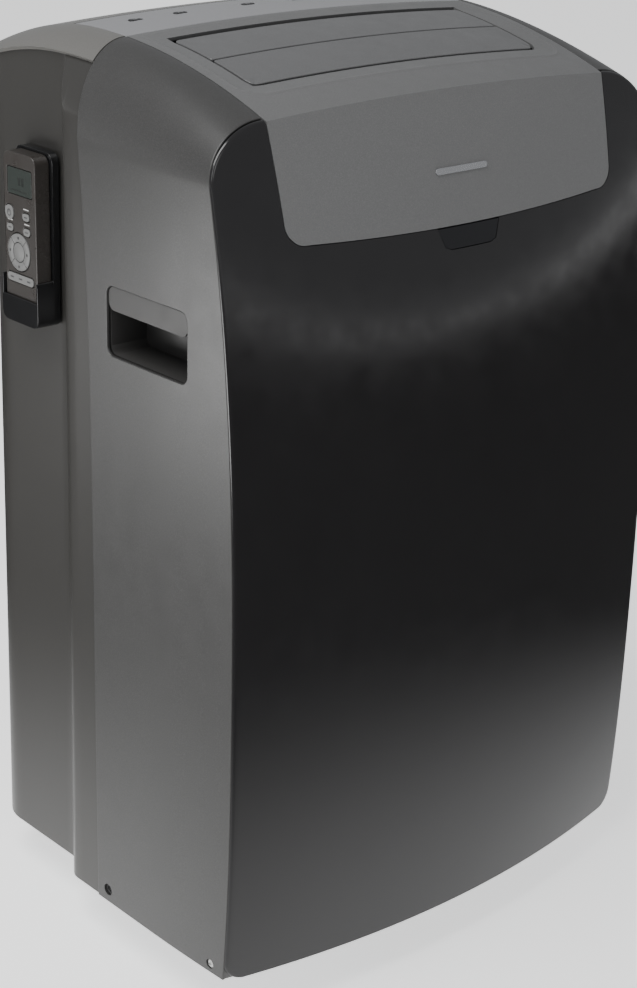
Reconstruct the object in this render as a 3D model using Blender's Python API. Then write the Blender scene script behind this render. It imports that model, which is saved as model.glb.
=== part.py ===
"""Portable air conditioner: casing, top outlet with linked louvres, remote in its holder, castors and works.

Metres, +Z up, front facing -Y, origin on the floor under the middle of the whole object.
"""

import math

import bmesh
import bpy
from mathutils import Matrix, Vector

# ---------------------------------------------------------------- driving sizes
WIDTH = 0.465
DEPTH = 0.397
HEIGHT = 0.765
WALL = 0.0028
SEAM = 0.0005
FIT = 0.0004

# Casing
SHOULDER_RUN = 0.055
SHOULDER_RISE = 0.085
TOP_CROWN = 0.006
TOP_FALL_FRONT = 0.0377
TOP_FALL_REAR = 0.031
TOP_PEAK_FROM_REAR = 0.126
VISOR_SETBACK = 0.0675
FRONT_BULGE = 0.0288
TOP_BULGE = 0.004
FRONT_LEAN = 0.0285
BELLY_HEIGHT = 0.28
SIDE_DEPTH = 0.204
SIDE_REAR_LEAN = 0.0235
VISOR_DROP = 0.0935
VISOR_TAPER = 0.0045
VISOR_CORNER = 0.016

# Window for the remote's signal, under the visor
RECEIVER_TOP_WIDTH = 0.066
RECEIVER_FOOT_WIDTH = 0.052
RECEIVER_HEIGHT = 0.016

# Top outlet and its louvres
OUTLET_FROM_CREASE = 0.0415
OUTLET_LENGTH = 0.101
OUTLET_MARGIN = 0.025
BLADE_SETBACK = 0.0025
BLADE_DROP = 0.0022
BLADE_THICKNESS = 0.003
BLADE_GAP = 0.0015
BLADE_PIVOT_BACK = 0.0085
BLADE_PIVOT_DROP = 0.0066
PIVOT_RADIUS = 0.002
PIVOT_CLEARANCE = 0.0004
CRANK_DROP = 0.018
LUG_THICKNESS = 0.0035
LINK_THICKNESS = 0.003
LINK_WIDTH = 0.007
DUCT_WALL = 0.0025
DUCT_REAR_ROOM = 0.0045
DUCT_BELOW_SHOULDER = 0.02
OUTLET_SPLIT = 0.485
PIN_ROOT = 0.002
LUG_HALF_LENGTH = 0.004
LUG_UNDER_PIVOT = 0.003
CRANK_PIN_RADIUS = 0.0016

# Control deck and its keys
DECK_BEHIND_OUTLET = 0.017
DECK_LENGTH = 0.0685
KEY_PLACES = (-0.139, -0.095, -0.026, 0.026, 0.095, 0.139)
KEY_NAMES = ("power", "mode", "fan", "timer", "cooler", "warmer")
KEY_LENGTH = 0.012
KEY_WIDTH = 0.005
KEY_PROUD = 0.0005
KEY_DEPTH = 0.006
KEY_CORNER = 0.0015
KEY_HOLE_CORNER = 0.0018
KEYS_BEHIND_MIDDLE = 0.006

# Rear housing
STRIP_INSET = 0.005
STRIP_LENGTH = 0.038
STRIP_BLEND = 0.032
STRIP_TUCK = 0.008
REAR_SIDE_INSET = 0.0195
REAR_SIDE_LEAN = 0.006
REAR_CORNER = 0.038
REAR_FITTINGS = 0.006
CAP_INSET = 0.0225
CAP_STEP = 0.0045
PARTITION_HEIGHT = 0.385
GRILLE_HALF_WIDTH = 0.150
GRILLE_BORDER = 0.012
GRILLE_SLOT = 0.009
GRILLE_PITCH = 0.0190
GRILLE_PLATE = 0.0045
GRILLE_CORNER = 0.006
FILTER_BORDER = 0.004
FILTER_THICKNESS = 0.004
FILTER_RECESS = 0.0032
FILTER_CELLS = 6
FILTER_RIB = 0.003
EXHAUST_RADIUS = 0.070
EXHAUST_FLANGE = 0.010
EXHAUST_WALL = 0.003
EXHAUST_LENGTH = 0.030
EXHAUST_RIM = 0.0025
DRAIN_RIM = 0.003
DRAIN_RIM_THICKNESS = 0.0025
DRAIN_PLUG_INSIDE = 0.009
DRAIN_PLUG_OUTSIDE = 0.004
UPPER_DRAIN = (-0.160, 0.012)
LOWER_DRAIN = (-0.12, 0.012)
DRAIN_RADIUS = 0.009
LOWER_DRAIN_RADIUS = 0.007
GLAND_BORE = 0.0045
GLAND_BODY = 0.0085
GLAND_RIM = 0.0115
GLAND_TIP = 0.0100
GLAND_SIDE = 0.165
GLAND_RISE = 0.045

# Handles
HANDLE_FROM_SHOULDER = 0.096
HANDLE_HEIGHT = 0.0545
HANDLE_LENGTH = 0.0966
HANDLE_FROM_REAR_EDGE = 0.0235
HANDLE_DEPTH = 0.040
HANDLE_LIP = 0.019
HANDLE_HEADROOM = 0.020
HANDLE_CORNER = 0.007

# Remote and holder
REMOTE_WIDTH = 0.044
REMOTE_HEIGHT = 0.132
REMOTE_THICKNESS = 0.0135
REMOTE_FROM_SHOULDER = 0.0175
REMOTE_BEHIND_EDGE = 0.094
REMOTE_RECESS = 0.0025
REMOTE_KEY_PROUD = 0.0006
REMOTE_KEY_TRAVEL_ROOM = 0.0022
REMOTE_CORNER = 0.008
REMOTE_KEY_SUNK = 0.0008
REMOTE_KEYS = (
    ("remote_power_key", 0.0145, 0.0489, 0.0058, 0.0058),
    ("remote_mode_key", 0.0140, 0.0610, 0.0042, 0.0030),
    ("remote_swing_key", -0.0085, 0.0494, 0.0045, 0.0030),
    ("remote_timer_key", -0.0092, 0.0613, 0.0045, 0.0030),
    ("remote_bar_key", 0.0010, 0.1010, 0.0180, 0.0034),
)
REMOTE_RING = (0.0025, 0.0795)
REMOTE_RING_RADIUS = 0.0150
REMOTE_RING_BORE = 0.0082
REMOTE_CENTRE_RADIUS = 0.0076
SCREEN_HALF_WIDTH = 0.0165
SCREEN_HEIGHT = 0.021
SCREEN_FROM_TOP = 0.0125
HOLDER_WALL = 0.002
HOLDER_CORNER = 0.007
HOLDER_ABOVE_REMOTE = 0.002
HOLDER_PLAY = 0.001
HOLDER_CUP_HEIGHT = 0.040
HOLDER_COVER_HEIGHT = 0.017
HOLDER_FLOOR = 0.004

# Running gear
WHEEL_RADIUS = 0.019
WHEEL_WIDTH = 0.016
CASTOR_TRAIL = 0.012
CASTOR_SIDE = 0.115
CASTOR_FROM_FRONT = 0.1135
CASTOR_FROM_REAR = 0.1035
AXLE_RADIUS = 0.0035
AXLE_CLEARANCE = 0.0004
FORK_ARM = 0.0025
STEM_RADIUS = 0.005
STEM_SEGMENTS = 16
CROWN_OVER_WHEEL = 0.0025
CROWN_THICKNESS = 0.0055
PAN_ABOVE_PANEL_FOOT = 0.004
CROWN_FRONT = 0.009
CROWN_REAR = 0.008
FORK_ARM_HALF = 0.0055
FORK_PLAY = 0.0006
TREAD_ROUND = 0.003

# Works
PAN_FLOOR = 0.003
PAN_RIM = 0.029
PAN_BEHIND_SEAM = 0.0126
COIL_THICKNESS = 0.024
COMPRESSOR_RADIUS = 0.052
COMPRESSOR_HEIGHT = 0.205
MOTOR_RADIUS = 0.034
MOTOR_LENGTH = 0.050
SHAFT_RADIUS = 0.004
SHAFT_CLEARANCE = 0.0004
BLOWER_LENGTH = 0.052
BLOWER_CLEARANCE = 0.006
BLOWER_WALL = 0.008
BLOWER_BACK = 0.003
BLOWER_HUB = 0.012
BLOWER_HUB_LENGTH = 0.014
BLOWER_SLOTS = 10
TRAY_DEPTH = 0.012
TRAY_WALL = 0.003
COIL_OVERLAP = 0.008
FIN_GROOVES = 10
FIN_GROOVE_WIDTH = 0.004
SCREW_RADIUS = 0.0032

# ---------------------------------------------------------------- places that follow from them
HALF_WIDTH = WIDTH / 2
FRONT = -DEPTH / 2
REAR = DEPTH / 2
CREASE = HALF_WIDTH - SHOULDER_RUN
SHOULDER = HEIGHT - SHOULDER_RISE
CREASE_FRONT = FRONT + VISOR_SETBACK
TOP_PEAK = REAR - TOP_PEAK_FROM_REAR
SEAM_FRONT = FRONT + FRONT_BULGE
SIDE_REAR = FRONT + SIDE_DEPTH
OUTLET_FRONT = CREASE_FRONT + OUTLET_FROM_CREASE
OUTLET_REAR = OUTLET_FRONT + OUTLET_LENGTH
OUTLET_SIDE = CREASE - OUTLET_MARGIN
DECK_FRONT = OUTLET_REAR + DECK_BEHIND_OUTLET
DECK_REAR = DECK_FRONT + DECK_LENGTH
REAR_WALL = REAR - REAR_FITTINGS
PAN_BOTTOM = 2 * WHEEL_RADIUS + CROWN_OVER_WHEEL + CROWN_THICKNESS
PANEL_FOOT = PAN_BOTTOM - PAN_ABOVE_PANEL_FOOT
VISOR_FOOT = HEIGHT - TOP_CROWN - TOP_FALL_FRONT - VISOR_DROP
FAR = 1.0


# ---------------------------------------------------------------- surfaces of the casing
def seam_y(z):
    """Depth of the seam between the front panel and the side panels."""
    reach = abs(z - BELLY_HEIGHT) / (SHOULDER - BELLY_HEIGHT)
    return SEAM_FRONT + FRONT_LEAN * reach**2.6


def front_y(x, z):
    """Depth of the front surface, which bows forward between the seams."""
    rise = min(max((z - BELLY_HEIGHT) / (SHOULDER + 0.0413 - BELLY_HEIGHT), 0), 1)
    bulge = FRONT_BULGE + (TOP_BULGE - FRONT_BULGE) * rise**3
    return seam_y(z) - bulge * (1 - (x / (HALF_WIDTH - 0.002)) ** 2)


def crease_z(y):
    """Height of the crease along the top's edge."""
    if y < TOP_PEAK:
        fall = TOP_FALL_FRONT * ((TOP_PEAK - y) / (TOP_PEAK - CREASE_FRONT)) ** 2
    else:
        fall = TOP_FALL_REAR * ((y - TOP_PEAK) / (REAR - TOP_PEAK)) ** 2
    return HEIGHT - TOP_CROWN - fall


def top_z(x, y):
    """Height of the crowned top inside the creases."""
    return crease_z(y) + TOP_CROWN * (1 - (x / CREASE) ** 2)


def side_rear_y(z):
    """Rear edge of the side panels, which leans back towards the top."""
    rise = max(z - 0.3, 0) / (HEIGHT - TOP_CROWN - 0.3)
    return SIDE_REAR + SIDE_REAR_LEAN * rise**4


def side_x(y):
    """Half width of the casing, a little narrower at the front corner."""
    narrowing = max(FRONT + 0.1385 - y, 0) / 0.09
    return HALF_WIDTH - 0.002 * narrowing**2


def section(y, inset, foot):
    """Outline of the casing across its width at one depth, from foot to foot over the top."""
    wide = side_x(y)
    arc_top = crease_z(y) - inset
    left = [(-(wide - inset), foot), (-(wide - inset), (foot + SHOULDER) / 2)]
    for step in range(7):
        angle = math.radians(90 - step * 90 / 6)
        x = CREASE + (wide - inset - CREASE) * math.sin(angle)
        z = SHOULDER + (arc_top - SHOULDER) * math.cos(angle)
        left.append((-x, z))
    crown = [-CREASE * (1 - step / 4) for step in range(1, 4)]
    left += [(x, top_z(x, y) - inset) for x in crown]
    right = [(-x, z) for x, z in reversed(left)]
    return [(x, y, z) for x, z in left + [(0, top_z(0, y) - inset)] + right]


# ---------------------------------------------------------------- modelling helpers
def clear_scene():
    for obj in list(bpy.data.objects):
        bpy.data.objects.remove(obj, do_unlink=True)


def plastic(name, colour, roughness=0.4, metallic=0.0):
    mat = bpy.data.materials.new(name)
    mat.use_nodes = True
    shader = mat.node_tree.nodes["Principled BSDF"]
    shader.inputs["Base Color"].default_value = (*colour, 1)
    shader.inputs["Roughness"].default_value = roughness
    shader.inputs["Metallic"].default_value = metallic
    return mat


def add_object(name, bm, mat=None, pivot=(0, 0, 0)):
    """Adds the mesh as an object whose origin is the pivot. Without a material it is a hidden cutter."""
    bmesh.ops.recalc_face_normals(bm, faces=bm.faces)
    bmesh.ops.translate(bm, verts=bm.verts, vec=-Vector(pivot))
    mesh = bpy.data.meshes.new(name)
    bm.to_mesh(mesh)
    bm.free()
    obj = bpy.data.objects.new(name, mesh)
    obj.location = pivot
    bpy.context.scene.collection.objects.link(obj)
    if mat is None:
        obj.hide_render = True
        obj.display_type = "WIRE"
    else:
        mesh.materials.append(mat)
    return obj


def boolean(obj, operation, *others):
    for other in others:
        mod = obj.modifiers.new(operation.title(), "BOOLEAN")
        mod.operation = operation
        mod.object = other
    return obj


def cut(obj, *others):
    return boolean(obj, "DIFFERENCE", *others)


def keep_inside(obj, *others):
    return boolean(obj, "INTERSECT", *others)


def join(obj, *others):
    return boolean(obj, "UNION", *others)


def settle(obj):
    """Turns what the modifiers make into the object's own mesh."""
    graph = bpy.context.evaluated_depsgraph_get()
    mesh = bpy.data.meshes.new_from_object(obj.evaluated_get(graph))
    obj.modifiers.clear()
    obj.data = mesh
    return obj


def copy_of(source, name, mat):
    """A visible copy of a hidden solid, for other cutters to shape."""
    mesh = source.data.copy()
    mesh.materials.clear()
    mesh.materials.append(mat)
    obj = bpy.data.objects.new(name, mesh)
    bpy.context.scene.collection.objects.link(obj)
    return obj


def triangulate_bent(bm):
    """Splits the faces that aren't flat, so that every face a Boolean reads is flat."""
    bm.normal_update()
    bent = [
        face
        for face in bm.faces
        if max(abs((vert.co - face.verts[0].co).dot(face.normal)) for vert in face.verts) > 1e-7
    ]
    bmesh.ops.triangulate(bm, faces=bent)


def loft(rings):
    """Closed bmesh through rings of equal count, with a face over each end."""
    bm = bmesh.new()
    loops = []
    for ring in rings:
        verts = [bm.verts.new(point) for point in ring]
        edges = [bm.edges.new((a, b)) for a, b in zip(verts, verts[1:] + verts[:1])]
        loops.append((verts, edges))
    for (_, near), (_, far) in zip(loops, loops[1:]):
        bmesh.ops.bridge_loops(bm, edges=near + far)
    triangulate_bent(bm)
    bm.faces.new(loops[0][0])
    bm.faces.new(loops[-1][0])
    return bm


def prism(outline, axis, low, high):
    """Bmesh of an outline, given in the two other axes, swept along one axis."""
    places = {
        "x": lambda a, b: (low, a, b),
        "y": lambda a, b: (a, low, b),
        "z": lambda a, b: (a, b, low),
    }
    bm = bmesh.new()
    face = bm.faces.new([bm.verts.new(places[axis](a, b)) for a, b in outline])
    swept = bmesh.ops.extrude_face_region(bm, geom=[face])["geom"]
    along = Vector((axis == "x", axis == "y", axis == "z")) * (high - low)
    bmesh.ops.translate(bm, verts=[v for v in swept if isinstance(v, bmesh.types.BMVert)], vec=along)
    return bm


def block(low, high, bm=None):
    """Bmesh of one box, or one more box in a bmesh that is given."""
    bm = bm or bmesh.new()
    low, high = Vector(low), Vector(high)
    size = Matrix.Diagonal((*(high - low), 1))
    bmesh.ops.create_cube(bm, size=1, matrix=Matrix.Translation((low + high) / 2) @ size)
    return bm


def turned(profile, axis, centre, segments=20):
    """Bmesh turned about an axis through a centre. The profile lists (radius, distance along the axis)."""
    bm = bmesh.new()
    verts = [bm.verts.new((radius, 0, along)) for radius, along in profile]
    meets_axis = profile[0][0] == 0
    following = verts[1:] if meets_axis else verts[1:] + verts[:1]
    edges = [bm.edges.new(pair) for pair in zip(verts, following)]
    bmesh.ops.spin(
        bm,
        geom=verts + edges,
        axis=(0, 0, 1),
        cent=(0, 0, 0),
        angle=math.tau,
        steps=segments,
        use_merge=True,
        use_duplicate=False,
    )
    bmesh.ops.remove_doubles(bm, verts=bm.verts, dist=0.00001)
    half_step = Matrix.Rotation(math.pi / segments, 4, "Z")
    turn = Vector((0, 0, 1)).rotation_difference(Vector(axis)).to_matrix().to_4x4()
    bmesh.ops.transform(bm, matrix=Matrix.Translation(centre) @ turn @ half_step, verts=bm.verts)
    return bm


def rod(radius, axis, start, length, segments=20):
    """Bmesh of a solid round bar that starts at a point and runs along an axis."""
    apothem = math.cos(math.pi / segments)
    bm = bmesh.new()
    bmesh.ops.create_cone(
        bm, cap_ends=True, segments=segments, radius1=radius / apothem, radius2=radius / apothem, depth=length
    )
    axis = Vector(axis)
    turn = Vector((0, 0, 1)).rotation_difference(axis).to_matrix().to_4x4()
    half_step = Matrix.Rotation(math.pi / segments, 4, "Z")
    middle = Vector(start) + axis * length / 2
    bmesh.ops.transform(bm, matrix=Matrix.Translation(middle) @ turn @ half_step, verts=bm.verts)
    return bm


def arc(centre, radius, start, end, steps):
    """Points of an arc, angles in degrees."""
    angles = [math.radians(start + (end - start) * step / steps) for step in range(steps + 1)]
    return [(centre[0] + radius * math.cos(a), centre[1] + radius * math.sin(a)) for a in angles]


def rounded_box(low, high, radius, steps=3):
    """Outline of a rectangle with round corners."""
    (a0, b0), (a1, b1) = low, high
    corners = (
        ((a1 - radius, b1 - radius), 0),
        ((a0 + radius, b1 - radius), 90),
        ((a0 + radius, b0 + radius), 180),
        ((a1 - radius, b0 + radius), 270),
    )
    return [point for centre, start in corners for point in arc(centre, radius, start, start + 90, steps)]


def around(centre, half_a, half_b):
    """The two corners of a box about a centre."""
    return (centre[0] - half_a, centre[1] - half_b), (centre[0] + half_a, centre[1] + half_b)


# ---------------------------------------------------------------- casing solids that the covers are cut from
def casing_envelope(name, inset, foot):
    """The casing's outer shape, moved inwards by the inset."""
    front, rear = FRONT - 0.01, REAR + 0.02
    depths = [front + (rear - front) * step / 13 for step in range(14)]
    body = add_object(name, loft([section(y, inset, foot) for y in depths]))
    bm = bmesh.new()
    bmesh.ops.create_grid(bm, x_segments=10, y_segments=15, size=1)
    for vert in bm.verts:
        x = vert.co.x * (HALF_WIDTH + 0.02)
        z = foot - 0.01 + (vert.co.y + 1) / 2 * (HEIGHT + 0.02 - foot)
        vert.co = (x, front_y(x, z) + inset, z)
    triangulate_bent(bm)
    swept = bmesh.ops.extrude_face_region(bm, geom=bm.faces[:])["geom"]
    for vert in [v for v in swept if isinstance(v, bmesh.types.BMVert)]:
        vert.co.y = FAR
    front_solid = add_object(name + "_front_guide", bm)
    keep_inside(body, front_solid)
    return settle(body)


def casing_skin(name, outer_inset, inner_inset):
    """The layer between two insets of the casing, open at the foot."""
    skin = casing_envelope(name, outer_inset, PANEL_FOOT)
    inner = casing_envelope(name + "_hollow", inner_inset, -0.06)
    bm = block((-FAR, REAR + 0.01, -FAR), (FAR, FAR, FAR))
    cut(skin, inner, add_object(name + "_rear_trim", bm))
    return settle(skin)


def ahead_of_seam(shift):
    """Everything in front of the seam between front and side panels."""
    levels = [-0.1 + step * (HEIGHT + 0.12) / 17 for step in range(18)]
    outline = [(seam_y(z) + shift, z) for z in levels]
    return prism(outline + [(-FAR, levels[-1]), (-FAR, levels[0])], "x", -FAR, FAR)


def visor_region(margin):
    """The top's outline seen from the front: straight down the creases, then the tapered visor."""
    top = HEIGHT + 0.05
    crease_end = HEIGHT - TOP_CROWN - TOP_FALL_FRONT
    side = CREASE + margin
    foot = VISOR_FOOT - margin
    radius = VISOR_CORNER + margin
    foot_side = side - VISOR_TAPER
    left = arc((-foot_side + radius, foot + 0.004 + radius), radius, 180, 270, 6)
    sag = [(x, foot + 0.004 * (x / (foot_side - radius)) ** 2) for x in (-0.1, -0.05, 0, 0.05, 0.1)]
    right = [(-x, z) for x, z in reversed(left)]
    outline = [(-side, top), (-side, crease_end), *left, *sag, *right, (side, crease_end), (side, top)]
    return prism(outline, "y", -FAR, DECK_FRONT - SEAM / 2 + margin)


def receiver_outline(margin):
    top = VISOR_FOOT - SEAM - 0.0006 + margin
    foot = top - RECEIVER_HEIGHT - 2 * margin
    half_top = RECEIVER_TOP_WIDTH / 2 + margin
    half_foot = RECEIVER_FOOT_WIDTH / 2 + margin
    right = arc((half_foot - 0.006, foot + 0.006), 0.006, 270, 340, 3)
    left = [(-x, z) for x, z in reversed(right)]
    return [(-half_top, top), *left, *right, (half_top, top)]


def housing_outline(z, inset, front):
    """Plan of the rear housing at one height: strip by the side panel, blend, side, corner, back."""
    rise = min(max((z - PANEL_FOOT) / (SHOULDER - PANEL_FOOT), 0), 1.1)
    strip_x = HALF_WIDTH - STRIP_INSET - inset
    side = HALF_WIDTH - REAR_SIDE_INSET - REAR_SIDE_LEAN * rise - inset
    strip_rear = SIDE_REAR + STRIP_LENGTH
    left = [(-strip_x, front), (-strip_x, strip_rear)]
    for step in (1, 2, 3, 4):
        share = step / 5
        ease = (1 - math.cos(math.pi * share)) / 2
        left.append((-(strip_x + (side - strip_x) * ease), strip_rear + STRIP_BLEND * share))
    radius = REAR_CORNER - inset
    back = REAR_WALL - inset
    left += arc((-side + radius, back - radius), radius, 180, 90, 6)
    return left + [(-x, y) for x, y in reversed(left)]


def housing_solid(inset, front, foot, top=HEIGHT + 0.05):
    levels = [foot, PANEL_FOOT + 0.25, SHOULDER, top]
    return loft([[(x, y, z) for x, y in housing_outline(z, inset, front)] for z in levels])


def cap_outline(margin):
    front = DECK_FRONT + SEAM / 2
    side = HALF_WIDTH - CAP_INSET + margin
    radius = REAR_CORNER
    back = REAR_WALL + 0.002 + margin
    left = [(-side + 0.003, front), *arc((-side + radius, back - radius), radius, 180, 90, 6)]
    return left + [(-x, y) for x, y in reversed(left)]


# ---------------------------------------------------------------- covers
def make_covers(mats):
    skin = casing_skin("casing_skin", 0, WALL)
    seam_front = add_object("seam_front_cut", ahead_of_seam(-SEAM / 2))
    seam_side = add_object("seam_side_cut", ahead_of_seam(SEAM / 2))
    visor = add_object("visor_cut", visor_region(0))
    visor_hole = add_object("visor_hole_cut", visor_region(SEAM))

    front = copy_of(skin, "front_panel", mats["front"])
    receiver_hole = add_object("receiver_hole_cut", prism(receiver_outline(FIT), "y", -FAR, 0))
    cut(front, visor_hole, receiver_hole)
    keep_inside(front, seam_front)

    window = copy_of(skin, "receiver_window", mats["window"])
    keep_inside(window, add_object("receiver_cut", prism(receiver_outline(0), "y", -FAR, 0)))

    levels = [-0.1 + step * (HEIGHT + 0.12) / 14 for step in range(15)]
    rear_edge = [(side_rear_y(z), z) for z in levels]
    ahead = prism(rear_edge + [(-FAR, levels[-1]), (-FAR, levels[0])], "x", -FAR, FAR)
    ahead_of_rear_edge = add_object("side_rear_cut", ahead)
    for side, name in ((-1, "left_side_panel"), (1, "right_side_panel")):
        panel = copy_of(skin, name, mats["side"])
        inner, outer = side * (CREASE + SEAM / 2), side * FAR
        half = block((min(inner, outer), -FAR, -FAR), (max(inner, outer), FAR, FAR))
        cut(panel, add_object(name + "_handle_cut", handle_window(side)))
        for place, (y, z) in zip(("rear", "front"), side_screw_places()):
            hole = rod(SCREW_RADIUS + FIT, (side, 0, 0), (side * (HALF_WIDTH - 0.02), y, z), 0.04, 12)
            cut(panel, add_object(f"{name}_{place}_screw_cut", hole))
        keep_inside(panel, add_object(name + "_half_cut", half), ahead_of_rear_edge)
        cut(panel, seam_side)

    top = copy_of(skin, "top_cover", mats["top"])
    outlet = block((-OUTLET_SIDE, OUTLET_FRONT, SHOULDER), (OUTLET_SIDE, OUTLET_REAR, FAR))
    keep_inside(top, visor)
    cut(top, add_object("outlet_cut", outlet))

    deck = copy_of(skin, "control_deck", mats["deck"])
    side = CREASE - SEAM / 2
    deck_block = block((-side, DECK_FRONT + SEAM / 2, SHOULDER), (side, DECK_REAR, FAR))
    keep_inside(deck, add_object("deck_cut", deck_block))
    add_deck_keys(deck, mats)

    cap = copy_of(skin, "rear_top_cap", mats["housing"])
    keep_inside(cap, add_object("cap_cut", prism(cap_outline(0), "z", SHOULDER - 0.03, FAR)))
    deck_hole = block((-CREASE - SEAM / 2, 0, SHOULDER), (CREASE + SEAM / 2, DECK_REAR + SEAM, FAR))
    cap_front = [(side_rear_y(z) + SEAM, z) for z in levels]
    front_trim = prism(cap_front + [(-FAR, FAR), (-FAR, -FAR)], "x", -FAR, FAR)
    cut(cap, add_object("deck_hole_cut", deck_hole), add_object("cap_front_cut", front_trim))


def handle_window(side):
    rear = SIDE_REAR - HANDLE_FROM_REAR_EDGE
    front = SIDE_REAR - HANDLE_FROM_REAR_EDGE - HANDLE_LENGTH
    top = SHOULDER - HANDLE_FROM_SHOULDER
    foot = top - HANDLE_HEIGHT
    outline = rounded_box((front, foot), (rear, top), HANDLE_CORNER, 4)
    return prism(outline, "x", side * (HALF_WIDTH - 0.015), side * (HALF_WIDTH + 0.02))


def side_screw_places():
    """Depth and height of the two screws low on each side panel."""
    return ((SIDE_REAR - 0.0145, PANEL_FOOT + 0.012), (SEAM_FRONT + 0.0255, PANEL_FOOT + 0.008))


def add_deck_keys(deck, mats):
    middle = (DECK_FRONT + DECK_REAR) / 2 + KEYS_BEHIND_MIDDLE
    for name, x in zip(KEY_NAMES, KEY_PLACES):
        surface = top_z(x, middle)
        corners = around((x, middle), KEY_LENGTH / 2 + FIT, KEY_WIDTH / 2 + FIT)
        hole = rounded_box(*corners, KEY_HOLE_CORNER, 2)
        cut(deck, add_object(f"{name}_key_cut", prism(hole, "z", SHOULDER, FAR)))
        outline = rounded_box(*around((x, middle), KEY_LENGTH / 2, KEY_WIDTH / 2), KEY_CORNER, 2)
        key = prism(outline, "z", surface - KEY_DEPTH, surface + KEY_PROUD)
        add_object(f"{name}_key", key, mats["key"], (x, middle, surface))


# ---------------------------------------------------------------- outlet, louvres and link
def make_outlet(mats):
    side = OUTLET_SIDE + FIT
    duct_rear = OUTLET_REAR + DUCT_REAR_ROOM
    outer = (side + DUCT_WALL, OUTLET_FRONT - FIT - DUCT_WALL, duct_rear + DUCT_WALL)
    foot = SHOULDER - DUCT_BELOW_SHOULDER
    duct_bm = block((-outer[0], outer[1], foot), (outer[0], outer[2], HEIGHT + 0.03))
    duct = add_object("outlet_duct", duct_bm, mats["inner"])
    under_cover = casing_envelope("under_cover_guide", WALL + 0.0006, PANEL_FOOT)
    keep_inside(duct, under_cover)
    inside = block((-side, OUTLET_FRONT - FIT, foot - 0.01), (side, duct_rear, FAR))
    cut(duct, add_object("duct_inside_cut", inside))

    blade_layer = casing_envelope("blade_outer_guide", BLADE_DROP, PANEL_FOOT)
    under_blade = casing_envelope("blade_under_guide", BLADE_DROP + BLADE_THICKNESS, -0.06)
    blades = settle(cut(blade_layer, under_blade))
    blade_side = OUTLET_SIDE - BLADE_SETBACK
    split = OUTLET_FRONT + OUTLET_LENGTH * OUTLET_SPLIT
    spans = (
        ("front_louvre", OUTLET_FRONT + BLADE_SETBACK, split - BLADE_GAP / 2),
        ("rear_louvre", split + BLADE_GAP / 2, OUTLET_REAR - 2 * BLADE_SETBACK),
    )
    pivots = []
    for name, front, rear in spans:
        pivot_y = rear - BLADE_PIVOT_BACK
        pivot_z = top_z(blade_side, pivot_y) - BLADE_DROP - BLADE_THICKNESS / 2 - BLADE_PIVOT_DROP
        pivots.append((pivot_y, pivot_z))
        blade = copy_of(blades, name, mats["top"])
        blade_block = block((-blade_side, front, SHOULDER), (blade_side, rear, FAR))
        keep_inside(blade, add_object(name + "_cut", blade_block))
        for end in (-1, 1):
            join(blade, *blade_end(name, end, blade_side, pivot_y, pivot_z))
            hole_start = (end * (side - 0.003), pivot_y, pivot_z)
            hole = rod(PIVOT_RADIUS + PIVOT_CLEARANCE, (end, 0, 0), hole_start, 0.012, 16)
            cut(duct, add_object(f"{name}_pivot_cut_{end}", hole))
        settle(blade)
        blade.data.transform(Matrix.Translation((0, -pivot_y, -pivot_z)))
        blade.location = (0, pivot_y, pivot_z)
    make_link(mats, blade_side, pivots)
    make_louvre_motor(mats, outer[0], pivots[0])
    return pivots


def blade_end(name, end, blade_side, pivot_y, pivot_z):
    """Lug, pivot pin and, on the left, the crank that the link joins."""
    face, back = end * blade_side, end * (blade_side - LUG_THICKNESS)
    low, high = min(face, back), max(face, back)
    top = pivot_z + BLADE_PIVOT_DROP
    foot = pivot_z - (CRANK_DROP if end < 0 else 0) - LUG_UNDER_PIVOT
    lug_block = block((low, pivot_y - LUG_HALF_LENGTH, foot), (high, pivot_y + LUG_HALF_LENGTH, top))
    lug = add_object(f"{name}_lug_{end}", lug_block)
    start = (end * (blade_side - PIN_ROOT), pivot_y, pivot_z)
    pin_length = PIN_ROOT + BLADE_SETBACK + DUCT_WALL
    pin = add_object(f"{name}_pin_{end}", rod(PIVOT_RADIUS, (end, 0, 0), start, pin_length, 16))
    if end > 0:
        return lug, pin
    crank_start = (-(blade_side - PIN_ROOT), pivot_y, pivot_z - CRANK_DROP)
    length = LUG_THICKNESS - PIN_ROOT + FIT + LINK_THICKNESS + 0.0005
    crank = add_object(f"{name}_crank", rod(CRANK_PIN_RADIUS, (1, 0, 0), crank_start, length, 12))
    return lug, pin, crank


def make_link(mats, blade_side, pivots):
    """Bar between the two crank pins, which keeps the louvres parallel."""
    inner = -(blade_side - LUG_THICKNESS - FIT)
    ends = [(y, z - CRANK_DROP) for y, z in pivots]
    direction = (Vector(ends[1]) - Vector(ends[0])).normalized()
    angle = math.degrees(math.atan2(direction.y, direction.x))
    half = LINK_WIDTH / 2
    outline = arc(ends[0], half, angle + 90, angle + 270, 6) + arc(ends[1], half, angle - 90, angle + 90, 6)
    link = prism(outline, "x", inner, inner + LINK_THICKNESS)
    bar = add_object("louvre_link", link, mats["inner"], (0, *ends[0]))
    for index, (y, z) in enumerate(ends):
        hole = rod(0.0016 + PIVOT_CLEARANCE, (1, 0, 0), (inner - 0.01, y, z), 0.03, 12)
        cut(bar, add_object(f"link_hole_cut_{index}", hole))


def make_louvre_motor(mats, duct_side, pivot):
    """Geared motor on the duct's left wall, whose hub faces the front louvre's pivot."""
    y, z = pivot
    face = -(duct_side + FIT)
    body = block((face - 0.014, y - 0.014, z - 0.026), (face, y + 0.014, z - 0.004))
    motor = add_object("louvre_motor", body, mats["steel"])
    hub = rod(0.0032, (-1, 0, 0), (face, y, z - 0.0035), 0.010, 12)
    join(motor, add_object("louvre_motor_hub", hub))


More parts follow.
